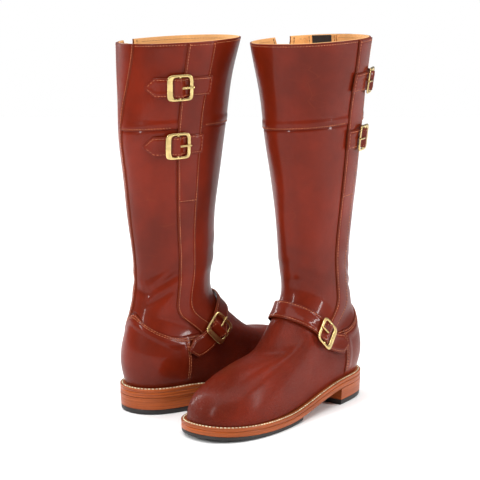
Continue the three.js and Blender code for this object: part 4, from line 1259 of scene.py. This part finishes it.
def leg_seams():
    """Seam rows of the leg, each as its places, its distance from the skin and its slant."""
    # The cuff's seam and the top line, round both halves of the leg.
    for start, end in ((ZIP_TURN - 0.97, 0.232), (0.338, ZIP_TURN - 0.03)):
        yield level_line(cuff_height, start, end, CUFF_ROW), CUFF_RAISED, 0.55
    for start, end in ((ZIP_TURN - 0.95, 0.247), (0.33, 0.478), (0.602, ZIP_TURN - 0.05)):
        yield level_line(top_height, start, end, -RIM_ROW), ON_LEATHER, 0.0
    # The flap and the strip below it.
    for low, high, extra in ((flap_height, None, FLAP_RAISED), (waist, flap_height, 0.0)):
        yield leg_line(beside(flap_front, TRIM_ROW), low, high), ON_TRIM + extra - 0.25, 0.0
        yield leg_line(beside(flap_rear, -TRIM_ROW), low, high), ON_TRIM + extra, 0.0
    low_edge = level_line(flap_height, FLAP_FRONT[0] + 0.009, FLAP_REAR[1] - 0.022, TRIM_ROW)
    yield low_edge, ON_TRIM + FLAP_RAISED, 0.0
    top_edge = level_line(top_height, FLAP_FRONT[1] + 0.004, FLAP_REAR[1] - 0.004, -RIM_ROW)
    yield top_edge, ON_TRIM + FLAP_RAISED, 0.0
    # The leather over the zip's lower end.
    for side in (-1, 1):
        yield leg_line(zip_side(side, ZIP_STOP_HALF - TRIM_ROW), waist, zip_stop_top), ZIP_STOP_RISE, 0.0
    yield level_line(zip_stop_top, ZIP_TURN - 0.03, ZIP_TURN + 0.03, -TRIM_ROW), ZIP_STOP_RISE, 0.0
    # The back stay and the two sides of the zip.
    for side in (-1, 1):
        yield leg_line(beside(stay_side(side), -side * TRIM_ROW), waist, None), ON_TRIM - 0.5, 0.0
        slot = zip_side(side, ZIP_SLOT / 2)
        yield leg_line(beside(slot, side * SLOT_ROW), waist, None), ON_LEATHER, 0.0


def counter_seams():
    """The counter's rows: two along its top edge and two down each side."""
    for inset in SEAM_ROWS:
        near, far = (float(turn_at_x(4.0, COUNTER_X, start)) for start in NEAR_SIDES)
        yield level_line(waist, near + 0.008, far - 0.008, -inset, 200), RAISED, 0.0
        for start in NEAR_SIDES:
            ring = np.linspace(0.35, 4.6, 60)
            turn = turn_at_x(ring, COUNTER_X - inset, start)
            below = skin_axis(turn, ring, 2) < waist(turn) - 3
            yield (turn[below], ring[below]), RAISED, 0.0


def strap_seams():
    """A strap's rows: down each edge, along each side of the point, and across the sewn end."""
    for name, line in strap_lines().items():
        distance = np.linspace(2.2, line.length - STRAP_POINT - 1.0, 300)
        for side in (-1, 1):
            across = np.array([side * (1 - STRAP_ROW / (STRAP_WIDTH / 2))])
            turn, ring = strap_places(line, distance, across)
            yield (turn[:, 0], ring[:, 0]), strap_lift(name, line, distance) + STRAP_THICK, 0.0
            tip = np.linspace(line.length - STRAP_POINT - 0.5, line.length - 3.4, 30)
            half = strap_half(line, tip)
            inset = side * np.maximum(half - STRAP_ROW * 1.2, 0.2) / half
            places = [strap_places(line, tip[k:k + 1], inset[k:k + 1]) for k in range(len(tip))]
            turn, ring = (np.array([place[axis][0, 0] for place in places]) for axis in (0, 1))
            yield (turn, ring), strap_lift(name, line, tip) + STRAP_THICK, 0.0
        end = np.array([STRAP_ROW])
        turn, ring = strap_places(line, end, np.linspace(-0.75, 0.75, 20))
        yield (turn[0], ring[0]), strap_lift(name, line, end) + STRAP_THICK, 0.0


def welt_stitches():
    """Stitches in the welt's groove, round the foot."""
    flat = outline_at(np.linspace(0, 1, 721), np.full(721, 3.4))
    path = np.concatenate([flat, (welt_top(flat[:, 0]) - 0.15)[:, None]], 1)
    at, run = walked(path, settings().welt_pitch)
    points = on_path(path, run, at)
    along = unit(on_path(path, run, (at + 0.5) % run[-1]) - points)
    up = np.broadcast_to([0.0, 0.0, 1.0], points.shape)
    out = unit(up - along * np.sum(along * up, -1, keepdims=True))
    length, radius = settings().welt_pitch * 0.74, settings().thread_radius * 1.9
    return stitch_shapes(points, along, out, length, radius)


def lining_seams():
    """Rows under the top line, beside the gore and beside the zip. The thread shows on the lining's
    inner face, so its distance from the skin is below the lining."""
    inside = LINING_OUTER - LINING_THICK - 0.05
    for start, end in ((ZIP_TURN - 0.95, GORE_FROM - 0.012), (GORE_TO + 0.012, ZIP_TURN - 0.05)):
        yield level_line(top_height, start, end, -4.2), inside + 0.35
    for turn in (GORE_FROM - 0.003, GORE_TO + 0.003):
        yield leg_line(straight_up(turn), below_top(GORE_DEPTH), None, 60), inside - 2.0
    for side in (-1, 1):
        slot = zip_side(side, ZIP_SLOT / 2)
        yield leg_line(beside(slot, side * 4.5), level(ZIP_OPEN), None, 160), inside


def make_stitching():
    # Seam threads lie in their rows' grooves.
    sunk = 0.12 - settings().stitch_dent
    seams = [*leg_seams(), *counter_seams(), *strap_seams()]
    rows = [stitch_row(*places, lift + sunk, slant=slant) for places, lift, slant in seams]
    thread = thread_material("seam_thread", "thread_colour")
    make_pair("seam_stitching", joined(*rows), thread)
    thread = thread_material("welt_thread", "welt_thread_colour")
    make_pair("welt_stitching", welt_stitches(), thread)
    rows = [stitch_row(*places, lift, thick=1.1, pitch=3.6) for places, lift in lining_seams()]
    thread = thread_material("lining_thread", "lining_thread_colour")
    make_pair("lining_stitching", joined(*rows), thread)


# ---- Materials ---------------------------------------------------------------------------------


def to_linear(colour):
    """Display colour to scene colour, with alpha 1."""
    c = np.array(colour, float)
    low, high = c / 12.92, ((c + 0.055) / 1.055) ** 2.4
    return (*np.where(c <= 0.04045, low, high).tolist(), 1.0)


def shade(colour, factor):
    """A colour made lighter or darker, in display values."""
    return tuple(min(1.0, max(0.0, c * factor)) for c in colour)


class Nodes:
    """Adds nodes to a tree and wires them by socket name or number."""

    def __init__(self, tree):
        self.tree = tree

    def feed(self, socket, value):
        if isinstance(value, bpy.types.NodeSocket):
            self.tree.links.new(value, socket)
        else:
            socket.default_value = value

    def wire(self, node, **inputs):
        """Feeds sockets. A key is a socket's name with _ for each space, or i and its number."""
        for key, value in inputs.items():
            by_number = key[0] == "i" and key[1:].isdigit()
            self.feed(node.inputs[int(key[1:]) if by_number else key.replace("_", " ")], value)

    def add(self, kind, choices=None, **inputs):
        """A new node with its choices made and its sockets fed."""
        node = self.tree.nodes.new(kind)
        for key, value in (choices or {}).items():
            setattr(node, key, value)
        self.wire(node, **inputs)
        return node

    def math(self, operation, a, b, c=0.0, clamp=False):
        choices = {"operation": operation, "use_clamp": clamp}
        return self.add("ShaderNodeMath", choices, i0=a, i1=b, i2=c).outputs[0]

    def plus(self, a, b):
        return self.math("ADD", a, b)

    def times(self, a, b):
        return self.math("MULTIPLY", a, b)

    def blend(self, share, a, b):
        return self.add("ShaderNodeMix", {"data_type": "RGBA"}, i0=share, i6=a, i7=b).outputs[2]

    def shades(self, share, base, low, high):
        """A colour between two shades of a base colour."""
        return self.blend(share, to_linear(shade(base, low)), to_linear(shade(base, high)))

    def spread(self, value, low, high, to_low=0.0, to_high=1.0):
        """Eases a value's way from low to high onto the way from to_low to to_high."""
        inputs = {"i0": value, "i1": low, "i2": high, "i3": to_low, "i4": to_high}
        return self.add("ShaderNodeMapRange", {"interpolation_type": "SMOOTHSTEP"}, **inputs).outputs[0]

    def mapped(self, scale=(1.0, 1.0, 1.0), turn=(0.0, 0.0, 0.0)):
        """The piece's own coordinates, turned and stretched."""
        where = self.add("ShaderNodeTexCoord").outputs["Object"]
        return self.add("ShaderNodeMapping", Vector=where, Scale=scale, Rotation=turn).outputs[0]

    def noise(self, vector, scale, detail=3.0, roughness=0.55, output="Fac"):
        inputs = {"Vector": vector, "Scale": scale, "Detail": detail, "Roughness": roughness}
        return self.add("ShaderNodeTexNoise", **inputs).outputs[output]

    def cells(self, vector, scale, feature="DISTANCE_TO_EDGE"):
        node = self.add("ShaderNodeTexVoronoi", {"feature": feature}, Vector=vector, Scale=scale)
        return node.outputs["Distance"]

    def threads(self, direction, scale, distortion=0.0):
        """The bands of a weave."""
        inputs = {"Vector": self.mapped(), "Scale": scale, "Distortion": distortion}
        return self.add("ShaderNodeTexWave", {"bands_direction": direction}, **inputs).outputs["Fac"]

    def attribute(self, name):
        return self.add("ShaderNodeAttribute", {"attribute_name": name}).outputs["Fac"]

    def bump(self, height, strength, depth):
        inputs = {"Strength": strength, "Distance": depth, "Height": height}
        return self.add("ShaderNodeBump", **inputs).outputs[0]


def node_group(name, inputs, outputs, build):
    """A shader node group made once. Its inputs and outputs are {name: (socket type, default)} and
    {name: socket type}, and build gives a value for each output from the group's inputs."""
    if name in bpy.data.node_groups:
        return bpy.data.node_groups[name]
    group = bpy.data.node_groups.new(name, "ShaderNodeTree")
    for label, (kind, default) in inputs.items():
        group.interface.new_socket(label, in_out="INPUT", socket_type=kind).default_value = default
    for label, kind in outputs.items():
        group.interface.new_socket(label, in_out="OUTPUT", socket_type=kind)
    nodes = Nodes(group)
    start, end = group.nodes.new("NodeGroupInput"), group.nodes.new("NodeGroupOutput")
    nodes.wire(end, **build(nodes, start.outputs))
    return group


FLOAT, COLOUR = "NodeSocketFloat", "NodeSocketColor"


def grain_group():
    """Hide grain: rounded pores between a net of fine creases, and soft dimples, as a height; the
    creases lengthen where Stretch is up, as on leather pulled over a last."""

    def build(nodes, given):
        where = nodes.mapped()
        drift = nodes.noise(where, 90.0, 2.0, output="Color")
        bend = {"i0": drift, "i1": (0.004, 0.004, 0.004), "i2": where}
        bent = nodes.add("ShaderNodeVectorMath", {"operation": "MULTIPLY_ADD"}, **bend).outputs[0]
        pores = nodes.spread(nodes.cells(bent, 1150.0, "F1"), 0.0, 0.7)
        creases = nodes.spread(nodes.cells(bent, 520.0), 0.0, 0.16)
        long_net = nodes.cells(nodes.mapped((420.0, 420.0, 900.0), (0.5, 0.3, 0.0)), 1.0)
        pulled = nodes.times(nodes.spread(long_net, 0.0, 0.2), given["Stretch"])
        dimples = nodes.noise(where, 240.0)
        height = nodes.plus(nodes.times(pores, 0.35), nodes.times(creases, 0.35))
        height = nodes.plus(height, nodes.times(dimples, 0.8))
        return {"Height": nodes.plus(height, pulled), "Pores": nodes.math("SUBTRACT", 1.0, creases)}

    return node_group("hide_grain", {"Stretch": (FLOAT, 0.0)}, {"Height": FLOAT, "Pores": FLOAT}, build)


def dye_and_shade_group():
    """Hand-dyed colour: broad clouds between two tones, faint pale scratches, deeper dye in the
    folds and a burnished edge that turns to the cut edge's own colour."""

    def build(nodes, given):
        where = nodes.mapped()
        cloud = nodes.spread(nodes.noise(where, 11.0, 4.0, 0.6), 0.3, 0.72)
        mottle = nodes.spread(nodes.noise(where, 75.0), 0.35, 0.7)
        tone = nodes.blend(cloud, given["Deep"], given["Bright"])
        tone = nodes.blend(nodes.times(mottle, 0.22), tone, given["Deep"])
        lines = nodes.cells(nodes.mapped((22.0, 22.0, 60.0), (0.4, 0.7, 0.2)), 1.0)
        scratch = nodes.math("SUBTRACT", 1.0, nodes.spread(lines, 0.0, 0.012))
        patchy = nodes.spread(nodes.noise(where, 26.0, 2.0), 0.5, 0.62)
        scratch = nodes.times(nodes.times(scratch, patchy), 0.3)
        tone = nodes.blend(scratch, tone, given["Edge"])
        # Painted shade: the fold valleys darkened towards the deep tone.
        fold = nodes.math("MULTIPLY", nodes.attribute("fold"), 0.55, clamp=True)
        tone = nodes.blend(fold, tone, given["Deep"])
        edge = nodes.attribute("edge")
        # Painted shade: a darker band along each edge; the very rim and the underside take the cut edge's
        # colour.
        tone = nodes.blend(nodes.spread(edge, 0.15, 0.6, 0.0, 0.65), tone, given["Deep"])
        tone = nodes.blend(nodes.spread(edge, 0.72, 0.97, 0.0, 0.7), tone, given["Edge"])
        return {"Color": tone, "Cloud": cloud, "Scratch": scratch}

    tones = {
        "Deep": (COLOUR, (0.1, 0.01, 0.01, 1)),
        "Bright": (COLOUR, (0.3, 0.03, 0.01, 1)),
        "Edge": (COLOUR, (0.4, 0.12, 0.05, 1)),
    }
    return node_group("hand_dye", tones, {"Color": COLOUR, "Cloud": FLOAT, "Scratch": FLOAT}, build)


def new_material(name):
    """A new material, the helper that adds its nodes, and its shader."""
    material = bpy.data.materials.new(name)
    material.use_nodes = True
    return material, Nodes(material.node_tree), material.node_tree.nodes["Principled BSDF"]


def once(make):
    """Keeps one material for each set of arguments."""
    made = {}

    def call(*args):
        if args not in made:
            made[args] = make(*args)
        return made[args]

    return call


@once
def leather_material(name, stretch):
    """Polished chestnut calf: dyed clouds, grain, and a thin coat of wax."""
    material, nodes, shader = new_material(name)
    base = settings().leather_colour
    tones = {"Deep": shade(base, 0.8), "Bright": shade(base, 1.06), "Edge": settings().cut_edge_colour}
    tones = {label: to_linear(tone) for label, tone in tones.items()}
    # The leather's colour, with painted shade in its folds and along its edges.
    dye_and_shade = nodes.add("ShaderNodeGroup", {"node_tree": dye_and_shade_group()}, **tones).outputs
    grain = nodes.add("ShaderNodeGroup", {"node_tree": grain_group()}, Stretch=stretch).outputs
    rough = nodes.math("MULTIPLY_ADD", dye_and_shade["Cloud"], -0.07, 0.40 + 0.05 * stretch)
    rough = nodes.plus(rough, nodes.times(grain["Pores"], 0.08))
    nodes.wire(
        shader, Base_Color=dye_and_shade["Color"], Roughness=nodes.plus(rough, dye_and_shade["Scratch"]), Specular_IOR_Level=0.08,
        Coat_Weight=0.22 - 0.07 * stretch, Coat_Roughness=0.1 + 0.15 * stretch,
        Normal=nodes.bump(grain["Height"], 0.24 + 0.4 * stretch, 0.0005))
    return material


@once
def lining_material():
    """Undyed calf lining: matt, with a soft nap and paler rubbed places."""
    material, nodes, shader = new_material("calf_lining")
    base = settings().lining_colour
    cloud = nodes.spread(nodes.noise(nodes.mapped(), 18.0, 4.0), 0.3, 0.7)
    nap = nodes.noise(nodes.mapped(), 700.0, 3.0, 0.7)
    tone = nodes.shades(cloud, base, 0.9, 1.07)
    tone = nodes.blend(nodes.spread(nap, 0.35, 0.7, 0.0, 0.35), tone, to_linear(shade(base, 0.78)))
    grain = nodes.add("ShaderNodeGroup", {"node_tree": grain_group()}).outputs
    nodes.wire(
        shader, Base_Color=tone, Roughness=nodes.spread(nap, 0.3, 0.7, 0.6, 0.82), Sheen_Weight=0.15,
        Normal=nodes.bump(nodes.plus(grain["Height"], nap), 0.25, 0.0003))
    return material


@once
def edge_material():
    """Cut and waxed sole leather seen on its edge: thin level streaks of lighter and darker fibre."""
    material, nodes, shader = new_material("waxed_sole_edge")
    base = settings().sole_colour
    red = (base[0] * 0.66, base[1] * 0.40, base[2] * 0.42)
    streak = nodes.noise(nodes.mapped((9.0, 9.0, 720.0)), 1.0, 4.0, 0.62)
    band = nodes.noise(nodes.mapped((4.0, 4.0, 210.0)), 1.0, 3.0, 0.6)
    fleck = nodes.noise(nodes.mapped((60.0, 60.0, 900.0)), 1.0, 3.0, 0.7)
    cloud = nodes.noise(nodes.mapped(), 22.0)
    tone = nodes.shades(nodes.spread(streak, 0.38, 0.62), base, 0.93, 1.12)
    tone = nodes.blend(nodes.spread(band, 0.54, 0.68, 0.0, 0.75), tone, to_linear(red))
    tone = nodes.blend(nodes.spread(fleck, 0.56, 0.72, 0.0, 0.45), tone, to_linear(shade(red, 0.85)))
    tone = nodes.blend(nodes.spread(cloud, 0.5, 0.75, 0.0, 0.25), tone, to_linear(shade(base, 0.8)))
    nodes.wire(
        shader, Base_Color=tone, Roughness=nodes.spread(streak, 0.3, 0.7, 0.5, 0.36), Specular_IOR_Level=0.2,
        Coat_Weight=0.12, Coat_Roughness=0.25, Normal=nodes.bump(nodes.plus(streak, fleck), 0.16, 0.0004))
    return material


@once
def rubber_material():
    """Black sole rubber: matt, faintly dusty, with a fine moulded texture."""
    material, nodes, shader = new_material("sole_rubber_black")
    dust = nodes.spread(nodes.noise(nodes.mapped(), 45.0, 4.0), 0.45, 0.75)
    fine = nodes.noise(nodes.mapped(), 1500.0, 2.0)
    nodes.wire(
        shader, Base_Color=nodes.shades(dust, settings().rubber_colour, 1.0, 1.7),
        Roughness=nodes.spread(dust, 0.0, 1.0, 0.55, 0.8), Normal=nodes.bump(fine, 0.25, 0.0003))
    return material


@once
def brass_material():
    """Polished pale brass: fine rubbed lines, cloudy polish and patches of darker tarnish."""
    material, nodes, shader = new_material("pale_brass")
    cloud = nodes.spread(nodes.noise(nodes.mapped(), 120.0, 4.0), 0.35, 0.7)
    rubbed = nodes.noise(nodes.mapped((300.0, 300.0, 2600.0), (0.3, 0.5, 0.2)), 1.0, 2.0)
    polish = nodes.math("MULTIPLY_ADD", cloud, -0.08, 0.27)
    nodes.wire(
        shader, Base_Color=nodes.shades(cloud, settings().brass_colour, 0.86, 1.0), Metallic=1.0,
        Roughness=nodes.plus(polish, nodes.times(rubbed, 0.08)),
        Normal=nodes.bump(nodes.plus(rubbed, cloud), 0.08, 0.0002))
    return material


@once
def elastic_material():
    """Black elastic web: fine weft threads across its ribs."""
    material, nodes, shader = new_material("elastic_web_black")
    weft = nodes.threads("Z", 420.0, 0.6)
    fuzz = nodes.noise(nodes.mapped(), 1400.0, 2.0)
    nodes.wire(
        shader, Base_Color=nodes.shades(weft, settings().elastic_colour, 0.7, 1.4), Sheen_Weight=0.3,
        Roughness=nodes.spread(fuzz, 0.3, 0.7, 0.75, 0.92),
        Normal=nodes.bump(nodes.plus(weft, fuzz), 0.4, 0.0003))
    return material


@once
def cloth_material():
    """Woven zip tape, dyed close to the leather."""
    material, nodes, shader = new_material("zip_tape_weave")
    weave = nodes.times(nodes.threads("Z", 520.0, 0.4), nodes.threads("DIAGONAL", 430.0))
    nodes.wire(
        shader, Base_Color=nodes.shades(weave, settings().tape_colour, 0.7, 1.25),
        Roughness=nodes.spread(weave, 0.0, 1.0, 0.9, 0.78), Normal=nodes.bump(weave, 0.35, 0.0003))
    return material


@once
def thread_material(name, colour_name):
    """Waxed thread: slightly uneven in colour, with a twist in its surface."""
    material, nodes, shader = new_material(name)
    base = tuple(getattr(settings(), colour_name))
    uneven = nodes.spread(nodes.noise(nodes.mapped(), 160.0), 0.35, 0.65)
    twist = nodes.noise(nodes.mapped((2600.0, 2600.0, 2600.0)), 1.0, 2.0)
    nodes.wire(
        shader, Base_Color=nodes.shades(uneven, base, 0.8, 1.12), Normal=nodes.bump(twist, 0.3, 0.0001),
        Roughness=nodes.spread(twist, 0.3, 0.7, 0.5, 0.7))
    return material


@once
def steel_material():
    """Plain rolled strip, for the shank inside the sole."""
    material, nodes, shader = new_material("shank_strip_steel")
    rolled = nodes.noise(nodes.mapped((900.0, 60.0, 900.0)), 1.0)
    nodes.wire(
        shader, Base_Color=nodes.blend(rolled, (0.22, 0.22, 0.22, 1), (0.34, 0.34, 0.33, 1)), Metallic=1.0,
        Roughness=nodes.spread(rolled, 0.3, 0.7, 0.3, 0.45))
    return material


def finish_frame():
    """Gives every carried-over solid its material."""
    for side in PLACES:
        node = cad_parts[f"{side}_shank"]
        node.data.materials.clear()
        node.data.materials.append(steel_material())


# ---- Stage -------------------------------------------------------------------------------------

FLOOR_HALF = 2.3
MIDDLE = (0.0, 0.0, 0.2)
# Each softbox: its place, what it faces, its width and height, and its power.
SOFTBOXES = {
    "top_softbox": ((0.0, 0.3, 3.4), (0.0, 0.31, 0.0), (4.6, 4.6), 192.0),
    "key_softbox": ((-1.5, -1.6, 1.3), MIDDLE, (0.18, 1.4), 30.0),
    "side_softbox": ((1.8, -0.5, 0.8), MIDDLE, (0.12, 1.4), 20.0),
    "back_softbox": ((-1.5, 1.3, 0.9), MIDDLE, (0.12, 1.4), 18.0),
}


def add_softbox(name, place, target, size, power):
    """A rectangular area light that faces a point."""
    data = bpy.data.lights.new(name, "AREA")
    data.shape = "RECTANGLE"
    data.size, data.size_y = size
    data.energy = power
    lamp = bpy.data.objects.new(name, data)
    bpy.context.scene.collection.objects.link(lamp)
    place, target = np.array(place), np.array(target)
    back = unit(place - target)
    right = unit(np.cross([0.0, 0.0, 1.0], back))
    matrix = np.eye(4)
    matrix[:3, :3] = np.stack([right, np.cross(back, right), back], 1)
    matrix[:3, 3] = place
    lamp.matrix_world = Matrix(matrix.tolist())


def make_floor():
    corners = [(x * FLOOR_HALF, y * FLOOR_HALF, 0.0) for x, y in ((-1, -1), (1, -1), (1, 1), (-1, 1))]
    mesh = bpy.data.meshes.new("floor")
    mesh.from_pydata(corners, [], [(0, 1, 2, 3)])
    floor = bpy.data.objects.new("floor", mesh)
    bpy.context.scene.collection.objects.link(floor)
    material, nodes, shader = new_material("pale_floor")
    nodes.wire(shader, Base_Color=(0.96, 0.96, 0.96, 1), Roughness=0.8, Specular_IOR_Level=0.15)
    mesh.materials.append(material)


def make_world():
    """A white room for the camera, dimmer for the boots' own light."""
    world = bpy.data.worlds.new("studio")
    world.use_nodes = True
    nodes = Nodes(world.node_tree)
    seen = nodes.add("ShaderNodeLightPath").outputs["Is Camera Ray"]
    strength = nodes.spread(seen, 0.0, 1.0, ROOM_LIGHT, 1.0)
    nodes.wire(world.node_tree.nodes["Background"], Color=(1.0, 1.0, 1.0, 1), Strength=strength)
    bpy.context.scene.world = world


def make_stage():
    scene = bpy.context.scene
    make_floor()
    make_world()
    for name, light in SOFTBOXES.items():
        add_softbox(name, *light)
    data = bpy.data.cameras.new("studio_camera")
    data.lens = CAMERA_LENS
    data.sensor_width = 36.0
    data.clip_end = 60.0
    camera = bpy.data.objects.new("studio_camera", data)
    camera.location = CAMERA_AT
    camera.rotation_euler = (np.pi / 2 - CAMERA_DOWN, 0.0, 0.0)
    scene.collection.objects.link(camera)
    scene.camera = camera
    scene.view_settings.view_transform = "Standard"


# ---- Add-on ------------------------------------------------------------------------------------


def colour_setting(name, text, default):
    return FloatVectorProperty(
        name=name, description=text, subtype="COLOR_GAMMA", size=3, min=0.0, max=1.0, default=default)


def size_setting(name, text, default):
    return FloatProperty(name=name, description=text, default=default, min=0.0)


class BootSettings(bpy.types.PropertyGroup):
    """Sizes and colours of the boots' finish. Sizes are in millimetres."""

    stitch_pitch: size_setting("Stitch pitch", "Length of one seam stitch and its gap, in mm", 3.3)
    welt_pitch: size_setting("Welt pitch", "Length of one welt stitch and its gap, in mm", 4.2)
    thread_radius: size_setting("Thread radius", "Half the thickness of the seam thread, in mm", 0.36)
    stitch_dent: size_setting("Stitch dent", "How deep a stitch row pulls the leather in, in mm", 0.28)
    fold_depth: size_setting("Fold depth", "Strength of the folds in the leather, 1 is as made", 0.6)
    leather_colour: colour_setting("Leather", "Colour of the dyed leather", (0.45, 0.12, 0.035))
    cut_edge_colour: colour_setting("Cut edge", "Colour of the leather's cut edge", (0.5, 0.22, 0.11))
    lining_colour: colour_setting("Lining", "Colour of the lining leather", (0.92, 0.69, 0.42))
    sole_colour: colour_setting("Sole edge", "Colour of the waxed sole edge", (0.6, 0.29, 0.115))
    rubber_colour: colour_setting("Rubber", "Colour of the heel and forefoot rubber", (0.11, 0.09, 0.085))
    brass_colour: colour_setting("Brass", "Colour of the buckles and zip", (0.88, 0.77, 0.52))
    elastic_colour: colour_setting("Elastic", "Colour of the elastic gore", (0.13, 0.11, 0.1))
    tape_colour: colour_setting("Zip tape", "Colour of the zip's tape", (0.3, 0.1, 0.06))
    thread_colour: colour_setting("Seam thread", "Colour of the seam thread", (0.7, 0.4, 0.24))
    welt_thread_colour: colour_setting("Welt thread", "Colour of the welt thread", (0.95, 0.88, 0.74))
    lining_thread_colour: colour_setting("Lining thread", "Colour of the lining thread", (0.3, 0.16, 0.1))


def settings():
    return bpy.context.scene.riding_boots


def operator(name, label, text, action):
    """An operator that makes one group of pieces."""

    def execute(self, context):
        action()
        return {"FINISHED"}

    members = {"bl_idname": f"boots.{name}", "bl_label": label, "__doc__": text, "execute": execute}
    return type(f"BOOTS_OT_{name}", (bpy.types.Operator,), members)


OPERATORS = [
    operator("finish_frame", "Finish Frame", "Gives the steel shanks their material", finish_frame),
    operator("make_sole", "Make Soles", "Adds welts, outsoles, heels, treads and insoles", make_sole),
    operator("make_lining", "Make Lining", "Adds the linings and the elastic gores", make_lining),
    operator("make_uppers", "Make Uppers", "Adds vamps, counters, shafts and cuffs", make_uppers),
    operator("make_trim", "Make Trim", "Adds flaps, side strips, back stays and zip stops", make_trim),
    operator("make_zip", "Make Zips", "Adds tapes, teeth, sliders and pulls", make_zip),
    operator("make_straps", "Make Straps", "Adds the straps and the buckles' loops", make_straps),
    operator("make_buckles", "Make Buckles", "Adds the buckle frames and prongs", make_buckles),
    operator("make_stitching", "Make Stitching", "Sews every seam", make_stitching),
    operator("make_stage", "Make Stage", "Adds the floor, the lights and the camera", make_stage),
]


class BOOTS_PT_panel(bpy.types.Panel):
    """Lists the boots' sizes, colours and steps."""

    bl_idname = "BOOTS_PT_panel"
    bl_label = "Riding Boots"
    bl_space_type = "VIEW_3D"
    bl_region_type = "UI"
    bl_category = "Boots"

    def draw(self, context):
        for name in BootSettings.__annotations__:
            self.layout.prop(context.scene.riding_boots, name)
        for step in OPERATORS:
            self.layout.operator(step.bl_idname)


CLASSES = [BootSettings, *OPERATORS, BOOTS_PT_panel]


def register():
    for item in CLASSES:
        bpy.utils.register_class(item)
    bpy.types.Scene.riding_boots = PointerProperty(type=BootSettings)


def unregister():
    del bpy.types.Scene.riding_boots
    for item in reversed(CLASSES):
        bpy.utils.unregister_class(item)


def main():
    register()
    for step in OPERATORS:
        getattr(bpy.ops.boots, step.bl_idname.split(".")[1])()


if __name__ == "__main__":
    main()
